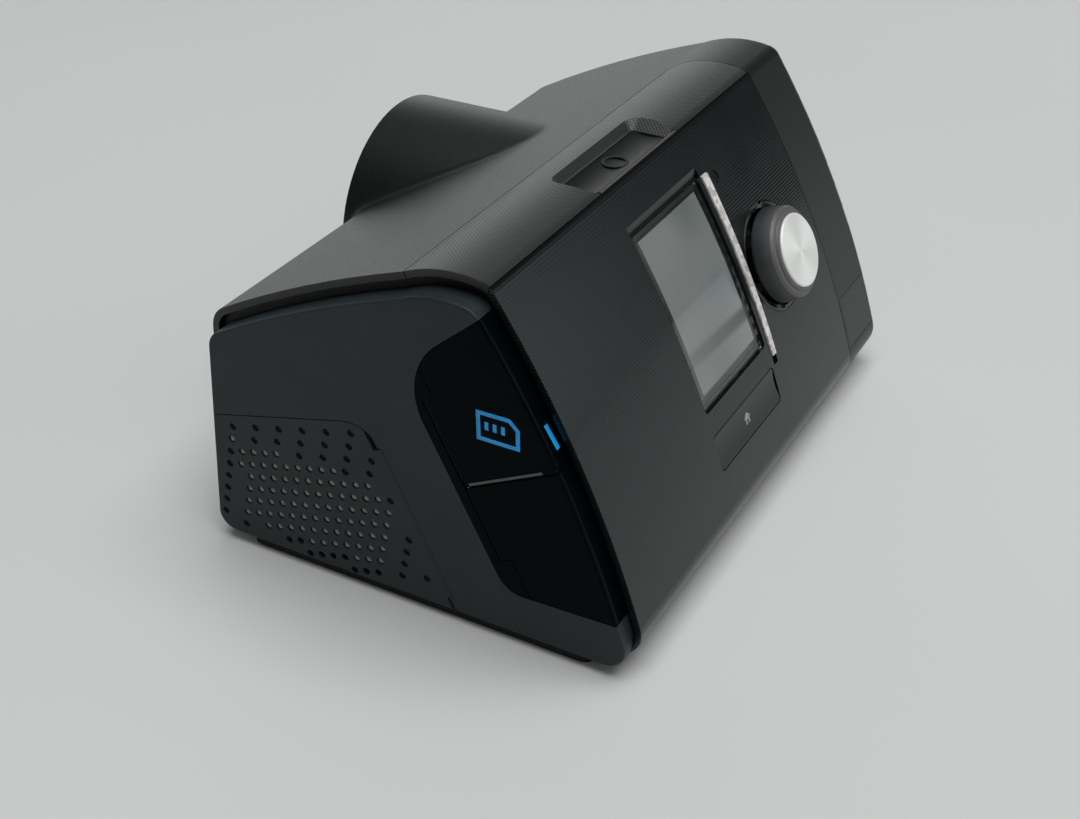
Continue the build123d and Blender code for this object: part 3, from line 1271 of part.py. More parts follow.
# ================================================================ humidifier
def bay_face(inset):
    """Section of the humidifier bay."""
    face = poly((BAY_FOOT_Y, BAY_Z0), (BAY_Y1, BAY_Z0), (BAY_Y1, BAY_Z1), (BAY_HEAD_Y, BAY_Z1))
    face = grow(face, -inset)
    radius = BAY_ROUND - inset
    return fillet(face.vertices(), radius)


def tub_bay():
    """Liner of the humidifier bay, open to the right."""
    body = prism(bay_face(-BAY_WALL), BAY_X0, RIGHT - END_T - FIT)
    body -= prism(bay_face(0), BAY_X0 + BAY_WALL, RIGHT)
    for (y, z) in (PORT_IN, PORT_OUT):
        body -= rod_x(y, z, PORT_R, BAY_X0 - 1, BAY_X0 + BAY_WALL + 1)
    heater = heater_shape(FIT)
    return body - extrude(Pos(0, 0, BAY_Z0 - 5) * heater, amount=10)


def heater_shape(out):
    x = (BAY_X0 + RIGHT) / 2
    length = RIGHT - BAY_X0 - HEATER_SHORT
    return Pos(x - 2, HEATER_Y) * RectangleRounded(length + 2 * out, HEATER_W + 2 * out, 4)


def heater_plate():
    z0 = UNDERSIDE + WALL
    return extrude(Pos(0, 0, z0) * heater_shape(0), amount=BAY_Z0 + 1.0 - z0)


def tub_block(inset, x0, x1):
    return prism(bay_face(TUB_GAP + inset), x0, x1)


def tub_base():
    """Lower half of the water tub."""
    x0 = BAY_X0 + BAY_WALL + TUB_GAP
    body = tub_block(1.0, x0, TUB_RIGHT) - tub_block(1.0 + TUB_WALL, x0 + TUB_WALL, TUB_RIGHT - TUB_WALL)
    body &= block(x0 - 1, RIGHT, -DEPTH, DEPTH, 0, TUB_SPLIT)
    return body - extrude(Pos(0, 0, 0) * heater_shape(0), amount=BAY_Z0 + 1.0 + TUB_GAP + TUB_WALL + 2)


def tub_plate():
    """Metal plate in the tub's floor, over the heater."""
    z0 = BAY_Z0 + 1.0 + TUB_GAP
    body = extrude(Pos(0, 0, z0 - 0.3) * heater_shape(0), amount=1.4)
    return body


def tub_lid():
    """Upper half of the water tub, with its two air ports."""
    x0 = BAY_X0 + BAY_WALL + TUB_GAP
    body = tub_block(1.0, x0, TUB_RIGHT) - tub_block(1.0 + TUB_WALL, x0 + TUB_WALL, TUB_RIGHT - TUB_WALL)
    body &= block(x0 - 1, RIGHT, -DEPTH, DEPTH, TUB_SPLIT + 1.2, HEIGHT)
    for (y, z) in (PORT_IN, PORT_OUT):
        body -= rod_x(y, z, PORT_R, x0 - 1, x0 + TUB_WALL + 1)
    return body


def tub_seal():
    """Soft gasket between the tub's halves."""
    x0 = BAY_X0 + BAY_WALL + TUB_GAP
    body = tub_block(1.1, x0 + 0.1, TUB_RIGHT - 0.1)
    body -= tub_block(0.9 + TUB_WALL, x0 + TUB_WALL, TUB_RIGHT - TUB_WALL)
    return body & block(x0 - 1, RIGHT, -DEPTH, DEPTH, TUB_SPLIT, TUB_SPLIT + 1.2)


def tub_end_cover():
    """End of the machine: the tub's outer cover, with a finger recess over its plug."""
    body = prism(end_opening(-0.4), RIGHT - END_T, RIGHT)
    body = fillet(body.faces().sort_by(Axis.X)[-1].edges(), 0.8)
    body += tub_block(1.4, TUB_RIGHT, RIGHT - END_T + 0.1)
    return body - Pos(RIGHT + 27, -2, 62) * Rot(90, 0, 0) * Cylinder(30.0, 46.0)


# ================================================================ boards and fasteners
def board_posts():
    return [(x, y) for y in (MAIN_Y[0] + POST_IN, MAIN_Y[1] - POST_IN)
            for x in (MAIN_X[0] + POST_IN, MAIN_X[1] - POST_IN)]


def main_board():
    """Main board over the base pan, cut out around the blower's feet."""
    body = block(*MAIN_X, *MAIN_Y, BOARD_Z, BOARD_Z + BOARD_T)
    for x, y in blower_posts():
        body -= rod_z(x, y, 5.0, 0, HEIGHT)
    for x, y in board_posts():
        body -= rod_z(x, y, SCREW_R, 0, HEIGHT)
    return body


def board_parts():
    """Larger parts on the main board."""
    left = [block(6, 20, 8, 20, 0, 8), block(26, 40, 6, 20, 0, 2.4)]
    right = [rod_z(-36, 10, 5, 0, 11), rod_z(-24, 10, 5, 0, 11), block(-20, -6, 18, 34, 0, 5)]
    middle = block(-16, -4, 10, 26, 0, 7)
    z = BOARD_Z + BOARD_T
    placed = [Pos(MAIN_X[0], MAIN_Y[0], z) * chip for chip in left]
    placed += [Pos(MAIN_X[1], MAIN_Y[0], z) * chip for chip in right]
    return Compound(children=placed + [Pos(MAIN_X[1], (MAIN_Y[0] + MAIN_Y[1]) / 2, z) * middle])


def board_screws():
    """Hexagon-headed screws of the main board, the display board and the switch board."""
    head = extrude(RegularPolygon(2.7, 6), amount=1.8)
    screws = [Pos(x, y, BOARD_Z + BOARD_T) * head for x, y in board_posts()]
    back = dial_plane().offset(-BOARD_DEPTH - BOARD_T)
    screws += [back * (Pos(x, y, 0) * Rot(180, 0, 0) * head) for x, y in display_posts()]
    screws += [Pos(x, y, SWITCH_BOARD_Z) * Rot(180, 0, 0) * head for x, y in switch_posts()]
    return Compound(children=screws)


# ================================================================ write every piece
def build():
    skin = housing_skin()
    shell = panel_shell()
    blower = volute()
    return {
        "front_fascia": front_fascia(skin),
        "top_band": top_band(skin),
        "rear_cover": rear_cover(skin),
        "base_pan": base_pan(skin),
        "foot_strips": foot_strips(),
        "label_plate": label_plate(),
        "side_panel": side_panel(shell),
        "side_frame": side_frame(),
        "filter_cover": filter_cover(shell),
        "air_filter": air_filter(),
        "access_frame": access_frame(),
        "hinge_rods": filter_hinge_pin() + access_hinge_rod(),
        "card_cover": card_cover(shell),
        "adapter_cover": adapter_cover(shell),
        "memory_card": memory_card(),
        "card_board": card_board(),
        "screen_window": screen_window(),
        "screen_frame": screen_frame(),
        "display_module": display_module(),
        "display_board": display_board(),
        "home_button": home_button(),
        "trim_strip": trim_strip(),
        "light_sensor": light_sensor(),
        "dial_ring": dial_ring(),
        "dial_grip": dial_grip(),
        "dial_face": dial_face(),
        "dial_shaft": dial_shaft(),
        "encoder": encoder(),
        "encoder_plunger": encoder_plunger(),
        "start_button": start_button(),
        "status_light": status_light(),
        "switch_board": switch_board(),
        "key_switches": key_switches(),
        "intake_box": intake_box(),
        "muffler_foam": muffler_foam(),
        "inlet_duct": inlet_duct(),
        "volute_lower": volute_lower(blower),
        "volute_upper": volute_upper(blower),
        "impeller": impeller(),
        "rotor_shaft": rotor_shaft(),
        "rotor_bearings": rotor_bearings(),
        "motor_stator": motor_stator(),
        "blower_mounts": blower_mounts(),
        "flow_sensor": flow_sensor(),
        "outlet_elbow": outlet_elbow(),
        "outlet_tube": outlet_tube(),
        "outlet_seal": outlet_seal(),
        "power_inlet": power_inlet(),
        "power_pin": power_pin(),
        "retention_clip": retention_clip(),
        "tub_bay": tub_bay(),
        "heater_plate": heater_plate(),
        "tub_base": tub_base(),
        "tub_plate": tub_plate(),
        "tub_lid": tub_lid(),
        "tub_seal": tub_seal(),
        "tub_end_cover": tub_end_cover(),
        "main_board": main_board(),
        "board_parts": board_parts(),
        "board_screws": board_screws(),
    }


os.makedirs("parts", exist_ok=True)
for name, shape in build().items():
    export_step(shape, f"parts/{name}.step")
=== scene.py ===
import math

import bpy
import numpy as np
from mathutils import Matrix, Quaternion, Vector


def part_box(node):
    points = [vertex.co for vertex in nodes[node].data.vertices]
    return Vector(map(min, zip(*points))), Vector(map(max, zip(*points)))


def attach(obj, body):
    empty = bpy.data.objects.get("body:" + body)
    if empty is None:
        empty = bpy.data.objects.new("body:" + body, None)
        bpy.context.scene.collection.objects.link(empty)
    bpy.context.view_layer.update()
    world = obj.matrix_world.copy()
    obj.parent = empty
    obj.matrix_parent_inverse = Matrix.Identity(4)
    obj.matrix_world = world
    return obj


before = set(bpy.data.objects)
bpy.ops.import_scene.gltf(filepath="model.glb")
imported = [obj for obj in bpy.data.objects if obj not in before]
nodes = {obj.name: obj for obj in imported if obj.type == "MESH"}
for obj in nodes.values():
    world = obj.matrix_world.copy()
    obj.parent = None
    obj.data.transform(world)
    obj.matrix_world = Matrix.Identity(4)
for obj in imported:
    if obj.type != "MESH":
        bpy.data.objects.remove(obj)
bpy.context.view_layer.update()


# ---------------------------------------------------------------- camera
# The view is from the left end, above and a little in front, as the machine is seen when it stands
# on a bedside table. The camera is a short telephoto about 0.55 m away, turned by half a degree.
EYE = Vector((-0.406627, -0.218213, 0.314416))
LOOK = Vector((0.72802157, 0.41172706, -0.54814726))
ROLL = math.radians(-0.58)
LENS = 52.99
SENSOR = 36.0
NEAR = 0.01

lens = bpy.data.cameras.new("bedside_camera")
lens.lens = LENS
lens.sensor_width = SENSOR
lens.clip_start = NEAR
camera = bpy.data.objects.new("bedside_camera", lens)
bpy.context.collection.objects.link(camera)
facing = LOOK.to_track_quat("-Z", "Y") @ Quaternion((0, 0, 1), ROLL)
camera.matrix_world = Matrix.Translation(EYE) @ facing.to_matrix().to_4x4()
bpy.context.scene.camera = camera
bpy.context.scene.view_settings.view_transform = "Standard"


# ---------------------------------------------------------------- table, room and lamps
# A pale grey table top runs out of view on all sides, under a wide soft lamp overhead and a weaker
# one by the front. The room is bright behind the right rear corner and a little by the front, and
# dim elsewhere.
TABLE_GREY = (0.63, 0.645, 0.635)
TABLE_HALF = 4
TABLE_LINES = 9
ROOM_DIM = 0.06
ROOM_WHITE = (0.97, 1.0, 0.99, 1)
BRIGHT_SIDE = (0.66, 0.65, -0.37)
BRIGHT_SPAN = (0.42, 0.93)
BRIGHT_LEVEL = 1.25
FRONT_SIDE = (0.57, -0.79, 0.22)
FRONT_SPAN = (0.93, 0.985)
FRONT_LEVEL = 1.0
BACKDROP = (0.60, 0.62, 0.61, 1)
LAMP_AIM = Vector((0, 0, 0.05))
NOISE_SPAN = (0.3, 0.7)


def feed(tree, socket, value):
    """Sets an input to a value, or links another node's output to it."""
    if isinstance(value, bpy.types.NodeSocket):
        tree.links.new(value, socket)
    else:
        socket.default_value = value


def shader(tree, kind, **inputs):
    """Adds a node to a tree and feeds its inputs by name."""
    made = tree.nodes.new(kind)
    for key, value in inputs.items():
        feed(tree, made.inputs[key.replace("_", " ")], value)
    return made


def maths(tree, operation, *values):
    """Adds a maths node; each value is a number or another node's output."""
    made = tree.nodes.new("ShaderNodeMath")
    made.operation = operation
    for slot, value in enumerate(values):
        feed(tree, made.inputs[slot], value)
    return made.outputs[0]


def vector_maths(tree, operation, *values, gives="Vector"):
    """Adds a vector maths node; each value is a vector or another node's output."""
    made = tree.nodes.new("ShaderNodeVectorMath")
    made.operation = operation
    for slot, value in enumerate(values):
        feed(tree, made.inputs[slot], value)
    return made.outputs[gives]


def scaled(tree, vector, size):
    """A vector or a colour times a number; either can be another node's output."""
    made = tree.nodes.new("ShaderNodeVectorMath")
    made.operation = "SCALE"
    feed(tree, made.inputs[0], vector)
    feed(tree, made.inputs["Scale"], size)
    return made.outputs["Vector"]


def mapped(tree, value, span, to, smooth=False):
    """Carries an output from one span of numbers to another, in a straight line or an S curve."""
    made = shader(tree, "ShaderNodeMapRange", Value=value, From_Min=span[0], From_Max=span[1],
                  To_Min=to[0], To_Max=to[1])
    if smooth:
        made.interpolation_type = "SMOOTHSTEP"
    return made.outputs["Result"]


def noise(tree, place, scale, detail, roughness=0.5):
    """Cloudy noise over a place: scale is the number of clouds in a metre."""
    return shader(tree, "ShaderNodeTexNoise", Vector=place, Scale=scale, Detail=detail,
                  Roughness=roughness).outputs["Fac"]


def surface(tree, **inputs):
    """Feeds inputs of a finish's surface by name."""
    for key, value in inputs.items():
        feed(tree, tree.nodes["Principled BSDF"].inputs[key.replace("_", " ")], value)


def new_finish(name, **inputs):
    """A new finish, its tree and the object's coordinates, with some inputs of its surface set."""
    finish = bpy.data.materials.new(name)
    finish.use_nodes = True
    tree = finish.node_tree
    surface(tree, **inputs)
    return finish, tree, tree.nodes.new("ShaderNodeTexCoord").outputs["Object"]


def new_piece(name, points, faces, smooth=False):
    """An object in the scene from points and the faces that join them."""
    mesh = bpy.data.meshes.new(name)
    mesh.from_pydata(np.array(points, float).reshape(-1, 3).tolist(), [], faces)
    mesh.polygons.foreach_set("use_smooth", [smooth] * len(mesh.polygons))
    mesh.update()
    made = bpy.data.objects.new(name, mesh)
    bpy.context.collection.objects.link(made)
    return made


def grid_mesh(name, points, close_u=False, close_v=False, ends=(), smooth=True):
    """
    A quad mesh from an array of points (rows, columns, 3), joined round where it is closed. Any
    faces that close its ends follow as lists of point numbers.
    """
    rows, columns = points.shape[:2]
    index = np.arange(rows * columns).reshape(rows, columns)
    if close_u:
        index = np.vstack([index, index[:1]])
    if close_v:
        index = np.hstack([index, index[:, :1]])
    faces = np.stack([index[:-1, :-1], index[:-1, 1:], index[1:, 1:], index[1:, :-1]], axis=-1)
    return new_piece(name, points, faces.reshape(-1, 4).tolist() + list(ends), smooth)


def table_top():
    """A flat square grid: x and y run evenly from -TABLE_HALF to TABLE_HALF and z is 0."""
    side = np.linspace(-TABLE_HALF, TABLE_HALF, TABLE_LINES)
    x, y = np.meshgrid(side, side)
    return grid_mesh("table_top", np.stack([x, y, np.zeros_like(x)], axis=-1))


def table_finish():
    """Matt painted board with a very faint cloudiness."""
    finish, tree, place = new_finish("table_grey", Roughness=0.75, Specular_IOR_Level=0.2)
    tint = mapped(tree, noise(tree, place, 3.0, 2.0), NOISE_SPAN, (0.985, 1.015))
    surface(tree, Base_Color=scaled(tree, TABLE_GREY, tint))
    return finish


table = table_top()
table.data.materials.append(table_finish())


def glow(tree, toward, span, level):
    """Light towards one side: it rises smoothly as the direction's cosine crosses the span."""
    place = tree.nodes.new("ShaderNodeTexCoord").outputs["Generated"]
    cosine = vector_maths(tree, "DOT_PRODUCT", place, toward, gives="Value")
    return mapped(tree, cosine, span, (0.0, level), smooth=True)


def daylit_room():
    """World light: two bright sides over an even dim level, and a pale backdrop past the table."""
    room = bpy.data.worlds.new("daylit_room")
    room.use_nodes = True
    tree = room.node_tree
    sides = maths(tree, "ADD", glow(tree, BRIGHT_SIDE, BRIGHT_SPAN, BRIGHT_LEVEL),
                  glow(tree, FRONT_SIDE, FRONT_SPAN, FRONT_LEVEL))
    light = tree.nodes["Background"]
    feed(tree, light.inputs["Color"], ROOM_WHITE)
    feed(tree, light.inputs["Strength"], maths(tree, "ADD", sides, ROOM_DIM))
    seen = shader(tree, "ShaderNodeBackground", Color=BACKDROP, Strength=1.0)
    rays = tree.nodes.new("ShaderNodeLightPath")
    both = shader(tree, "ShaderNodeMixShader", Fac=rays.outputs["Is Camera Ray"])
    feed(tree, both.inputs[1], light.outputs["Background"])
    feed(tree, both.inputs[2], seen.outputs["Background"])
    feed(tree, tree.nodes["World Output"].inputs["Surface"], both.outputs["Shader"])
    return room


bpy.context.scene.world = daylit_room()


def soft_lamp(name, place, size, watts):
    """A square lamp at a place, turned to face LAMP_AIM."""
    lamp = bpy.data.lights.new(name, "AREA")
    lamp.shape = "SQUARE"
    lamp.size = size
    lamp.energy = watts
    made = bpy.data.objects.new(name, lamp)
    bpy.context.collection.objects.link(made)
    turn = (LAMP_AIM - Vector(place)).to_track_quat("-Z", "Y")
    made.matrix_world = Matrix.Translation(place) @ turn.to_matrix().to_4x4()


soft_lamp("overhead_lamp", place=(0.0, -0.6, 3.4), size=3.0, watts=112.0)
soft_lamp("front_lamp", place=(-0.9, -1.3, 1.2), size=0.8, watts=3.0)


# ---------------------------------------------------------------- rear and top cover
# The large moulded cover of the rear, top and right end, with the round outlet shroud. It is
# black ABS with a fine spark-eroded grain that scatters the light from above.
COVER_BLACK = (0.0036, 0.0052, 0.0052)


def emboss(tree, height, depth, strength=1.0):
    """Raises the surface by an output, where 1 stands depth metres high."""
    bump = shader(tree, "ShaderNodeBump", Strength=strength, Distance=depth, Height=height)
    surface(tree, Normal=bump.outputs["Normal"])


def moulded(name, colour, roughness, grain=0.0005, depth=0.000008, cloud=0.03, uneven=0.06,
            level=0.5):
    """Moulded plastic: a fine grain in the surface, and a faint cloudiness in colour and sheen."""
    finish, tree, place = new_finish(name, Specular_IOR_Level=level)
    fine = noise(tree, place, 1.0 / grain, 2.0, 0.6)
    broad = noise(tree, place, 1.0 / cloud, 3.0, 0.55)
    sheen = (roughness - uneven, roughness + uneven)
    surface(tree, Base_Color=scaled(tree, colour, mapped(tree, broad, NOISE_SPAN, (0.86, 1.14))),
            Roughness=mapped(tree, fine, NOISE_SPAN, sheen))
    emboss(tree, fine, depth)
    return finish


def dress(finish, *names):
    """Gives CAD nodes a finish in place of the plain one they came with."""
    for name in names:
        nodes[name].data.materials.clear()
        nodes[name].data.materials.append(finish)


dress(moulded("cover_grain", COVER_BLACK, 0.40, grain=0.0006, depth=0.00001),
      "rear_cover", "tub_end_cover")


# ---------------------------------------------------------------- front panel
# The gloss black front, moulded with fine level ribs under a clear face, so that it looks dark and
# finely lined. Its colour is lighter and darker along the ribs as painted highlight and shade. The
# ribs stand every 0.9 mm up the bowed front.
PANEL_BLACK = (0.0030, 0.0048, 0.0052)
RIB_PITCH = 0.00092
RIB_DEPTH = 0.000014
SINE_SPAN = (-1.0, 1.0)


def along(tree, vector, axis):
    """One of the parts X, Y and Z of a vector output."""
    return shader(tree, "ShaderNodeSeparateXYZ", Vector=vector).outputs[axis]


def ribbed(name, colour, roughness, pitch, depth):
    """Gloss plastic with level ribs: the height rises and falls as a sine of Z over the pitch, and
    the colour follows the same sine as painted highlight and shade.
    """
    finish, tree, place = new_finish(name, Specular_IOR_Level=0.33, Coat_Weight=0.18,
                                     Coat_Roughness=0.06, Specular_Tint=(0.85, 1.0, 1.0, 1))
    turns = maths(tree, "MULTIPLY", along(tree, place, "Z"), 2 * math.pi / pitch)
    wave = maths(tree, "SINE", turns)
    haze = noise(tree, place, 35.0, 3.0)
    sheen = (roughness - 0.03, roughness + 0.05)
    # Painted highlight and shade: the colour swings between 0.6 and 1.5 times with the ribs.
    surface(tree, Base_Color=scaled(tree, colour, mapped(tree, wave, SINE_SPAN, (0.6, 1.5))),
            Roughness=mapped(tree, haze, NOISE_SPAN, sheen))
    emboss(tree, wave, depth)
    return finish


dress(ribbed("panel_ribs", PANEL_BLACK, 0.24, RIB_PITCH, RIB_DEPTH), "front_fascia")


# ---------------------------------------------------------------- top band
# The band over the ridge, moulded with a close pattern of small round dots in rows. It has a
# half-gloss face, and the status light lies along its front lip.
BAND_BLACK = (0.019, 0.0215, 0.0205)
BAND_END = -0.0965
DOT_PITCH = 0.00125
DOT_DEPTH = 0.00003
DOT_SPAN = (-0.6, 0.6)


def dotted(name, colour, roughness, pitch, depth):
    """
    Plastic with dots: the height is the product of sines of X and of Y, each over the pitch, and
    the colour follows it as painted highlight and shade. It and the colour fade out at BAND_END, so
    that the cut end of the band is plain and dark.
    """
    finish, tree, place = new_finish(name)
    waves = vector_maths(tree, "SINE", scaled(tree, place, 2 * math.pi / pitch))
    fade = (BAND_END + 0.0002, BAND_END + 0.0007)
    inward = mapped(tree, along(tree, place, "X"), fade, (0.0, 1.0))
    product = maths(tree, "MULTIPLY", along(tree, waves, "X"), along(tree, waves, "Y"))
    dots = maths(tree, "MULTIPLY", product, inward)
    # Painted highlight and shade: the colour is lighter on the dots and darker between them.
    raised = mapped(tree, dots, DOT_SPAN, (0.5, 1.6))
    dark = maths(tree, "ADD", maths(tree, "MULTIPLY", inward, 0.8), 0.2)
    sheen = (roughness + 0.08, roughness - 0.08)
    surface(tree, Base_Color=scaled(tree, colour, maths(tree, "MULTIPLY", raised, dark)),
            Roughness=mapped(tree, dots, DOT_SPAN, sheen))
    emboss(tree, dots, depth)
    return finish


dress(dotted("band_dots", BAND_BLACK, 0.36, DOT_PITCH, DOT_DEPTH), "top_band")


# ---------------------------------------------------------------- side panel and filter cover
# The matt left end with a fine grain, and the hinged filter cover moulded from the same plastic.
SIDE_SLATE = (0.019, 0.026, 0.030)

dress(moulded("side_grain", SIDE_SLATE, 0.5, grain=0.00055, depth=0.00001, level=0.25),
      "side_panel", "filter_cover")


# ---------------------------------------------------------------- base pan, side frame and feet
# The base tray, the inner end frame and the plug's clip are plain matt mouldings. The feet are
# soft black rubber.
dress(moulded("base_grain", (0.012, 0.012, 0.013), 0.6, grain=0.0007, depth=0.00004),
      "base_pan", "side_frame", "retention_clip")
dress(moulded("foot_rubber", (0.011, 0.011, 0.011), 0.8, grain=0.0009, depth=0.00006),
      "foot_strips")


# ---------------------------------------------------------------- access bay and its two covers
# The gloss black corner of the side panel: a fixed rim, the memory card's cover and the adapter
# cover below it. They are polished, almost a black mirror.
ACCESS_BLACK = (0.0008, 0.0028, 0.0040)


def polished(name, colour, roughness=0.1, level=0.5, coat=0.3):
    """Polished plastic under a clear coat, with a faint haze that varies over a few millimetres."""
    finish = moulded(name, colour, roughness, grain=0.004, depth=0.000004, uneven=0.03, level=level)
    surface(finish.node_tree, Coat_Weight=coat, Coat_Roughness=0.04)
    return finish


dress(polished("access_gloss", ACCESS_BLACK, level=0.03, coat=0.0),
      "access_frame", "card_cover", "adapter_cover")


# ---------------------------------------------------------------- marks on the card cover
# A small picture of a memory card, printed in blue on the card cover, and a blue bar on the cover's
# front wall. A pale line in the slit between the two covers is a painted highlight. The ink stands
# 0.03 mm proud.
CARD_BLUE = (0.006, 0.36, 0.85)
SLIT_HIGHLIGHT_GREY = (0.085, 0.090, 0.088)
MARK_T = 0.00003
MITRE_LEAST = 0.4
LEFT_END = -0.1025
FRONTWARD = (0, -1, 0)

CARD_AT = (LEFT_END - MARK_T, -0.0331, 0.0745)
CARD_LINE = 0.0013
CARD_OUTLINE = [(-0.0062, -0.0042), (0.0062, -0.0042), (0.0062, 0.0016), (0.0036, 0.0042),
                (-0.0062, 0.0042)]
STRIPE_FIRST = -0.0036
STRIPE_PITCH = 0.0026
STRIPE_ENDS = (-0.0010, 0.0016)
STRIPE_WIDTH = 0.0012

TAB_AT = (-0.0985, -0.04715, 0.0755)
TAB_UP = Vector((0, 0.5267, 0.85)).normalized()
TAB_HALF = 0.0046
TAB_WIDTH = 0.0017

BAR_X = -0.1021
BAR_START = (-0.02289, 0.05265)
BAR_RUN = (-0.8929, 0.45025)
BAR_LENGTH = 0.0265
BAR_WIDTH = 0.0008


def stroke(name, path, width, place, across=FRONTWARD, up=(0, 0, 1), closed=False):
    """
    A line of even width along a path, as a four-sided band.
    Each path point (p, q) lies at place + p * across + q * up. The band's edges lie half the width
    either side of it along the bisector of its two neighbours' normals, and its back lies MARK_T
    below its face, against the direction across x up.
    """
    path = np.array(path, float)
    count = len(path)
    before, after = np.roll(path, 1, axis=0), np.roll(path, -1, axis=0)
    run_in, run_out = path - before, after - path
    if not closed:
        run_in[0], run_out[-1] = run_out[0], run_in[-1]
    run_in /= np.linalg.norm(run_in, axis=1, keepdims=True)
    run_out /= np.linalg.norm(run_out, axis=1, keepdims=True)
    middle = run_in + run_out
    middle /= np.linalg.norm(middle, axis=1, keepdims=True)
    side = np.stack([-middle[:, 1], middle[:, 0]], axis=1)
    reach = width / 2 / np.maximum((middle * run_in).sum(axis=1), MITRE_LEAST)[:, None]
    across, up = np.array(across, float), np.array(up, float)
    left, right = path + side * reach, path - side * reach
    below = -MARK_T * np.cross(across, up)
    points = np.stack([np.array(place) + edge[:, :1] * across + edge[:, 1:] * up + drop
                       for edge, drop in ((left, 0), (right, 0), (right, below), (left, below))],
                      axis=1)
    last = 4 * (count - 1)
    ends = [] if closed else [[0, 3, 2, 1], [last, last + 1, last + 2, last + 3]]
    return grid_mesh(name, points, close_u=closed, close_v=True, ends=ends, smooth=closed)


marks = [stroke("card_mark", CARD_OUTLINE, CARD_LINE, CARD_AT, closed=True)]
for k in range(3):
    column = STRIPE_FIRST + STRIPE_PITCH * k
    marks.append(stroke(f"card_mark_bar_{k + 1}", [(column, q) for q in STRIPE_ENDS],
                        STRIPE_WIDTH, CARD_AT))
marks.append(stroke("card_tab", [(0, -TAB_HALF), (0, TAB_HALF)], TAB_WIDTH, TAB_AT,
                    across=(1, 0, 0), up=TAB_UP))
card_ink = moulded("card_ink", CARD_BLUE, 0.45, grain=0.0004, depth=0.000004)
for piece in marks:
    piece.data.materials.append(card_ink)
    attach(piece, "card_cover")

# Painted highlight: a pale grey line along the slit between the two covers.
bar_end = [start + run * BAR_LENGTH for start, run in zip(BAR_START, BAR_RUN)]
bar = stroke("slit_painted_highlight", [(-y, z) for y, z in (BAR_START, bar_end)], BAR_WIDTH,
             (BAR_X - MARK_T, 0, 0))
bar.data.materials.append(moulded("slit_highlight_grey", SLIT_HIGHLIGHT_GREY, 0.4, grain=0.0006, depth=0.000006))
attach(bar, "housing")


# ---------------------------------------------------------------- air filter
# A white fibre mat behind the filter cover: loose fibres that cross, over a soft grey body. It is
# pressed against the cover, and bulges a little way into each open hole, where it is coloured a
# darker grey than the rest of the mat.
MAT_WHITE = (0.66, 0.63, 0.60)
TUFT_GREY = (0.36, 0.34, 0.325)
FIBRE = 0.0003
FIBRE_DEPTH = 0.0001
MAT_FACE = -0.0994
VENT = np.array([(0.0628, 0.0417), (0.0628, 0.0360), (0.0576, 0.0246), (0.0622, 0.0140),
                 (0.0565, 0.0102), (0.0385, 0.0057), (0.0103, 0.0057), (0.0050, 0.0200),
                 (0.0050, 0.0330), (0.0098, 0.0417)])
HOLE_START = (0.0599, 0.0137)
HOLE_PITCH = 0.0046
HOLE_ROW = 0.00446
HOLE_TILT = math.radians(180 - 14.8)
HOLE_STEPS = np.arange(-4, 18)
HOLE_ROWS = np.arange(-4, 10)
TUFT_RINGS = [(0.00115, 0.0), (0.00115, 0.0022), (0.00100, 0.0025), (0.00060, 0.0027),
              (0.0002, 0.00275)]
TUFT_SIDES = 14


def stretched(tree, place, size, ratios):
    """Places counted in units of a size, which each axis takes by its own ratio."""
    return shader(tree, "ShaderNodeMapping", Vector=place,
                  Scale=[1.0 / (size * ratio) for ratio in ratios]).outputs["Vector"]


def fibrous(name, colour, fibre, depth):
    """Matt mat of fibres: stretched noise in two directions makes the height and the shade."""
    finish, tree, place = new_finish(name, Roughness=0.95, Specular_IOR_Level=0.1)
    layers = [noise(tree, stretched(tree, place, fibre, ratios), 1.0, 2.0)
              for ratios in ((1, 6, 1), (1, 1, 6))]
    weave = maths(tree, "MAXIMUM", *layers)
    shade = mapped(tree, weave, (0.4, 0.7), (0.7, 1.1))
    surface(tree, Base_Color=scaled(tree, colour, shade))
    emboss(tree, weave, depth)
    return finish


def vent_holes():
    """
    Centres (Y, Z) of the open holes: points on rows HOLE_ROW apart at a tilt, every other row moved
    by half the pitch, kept where a line towards +Y crosses the vent's outline an odd number of
    times and the whole hole lies above the mat's lower edge.
    """
    step, row = np.meshgrid(HOLE_STEPS, HOLE_ROWS)
    forward = np.array((math.cos(HOLE_TILT), math.sin(HOLE_TILT)))
    upward = np.array((forward[1], -forward[0]))
    points = (np.array(HOLE_START) + (row * HOLE_ROW)[..., None] * upward
              + ((step + row % 2 / 2) * HOLE_PITCH)[..., None] * forward).reshape(-1, 2)
    run, rise = (np.roll(VENT, -1, axis=0) - VENT).T
    y, z = points[:, :1], points[:, 1:]
    spans = (VENT[:, 1] > z) != (VENT[:, 1] + rise > z)
    meets = VENT[:, 0] + (z - VENT[:, 1]) * run / np.where(rise == 0, 1.0, rise)
    inside = (spans & (y < meets)).sum(axis=1) % 2 == 1
    over_mat = points[:, 1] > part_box("air_filter")[0].z + TUFT_RINGS[0][0]
    return points[inside & over_mat]


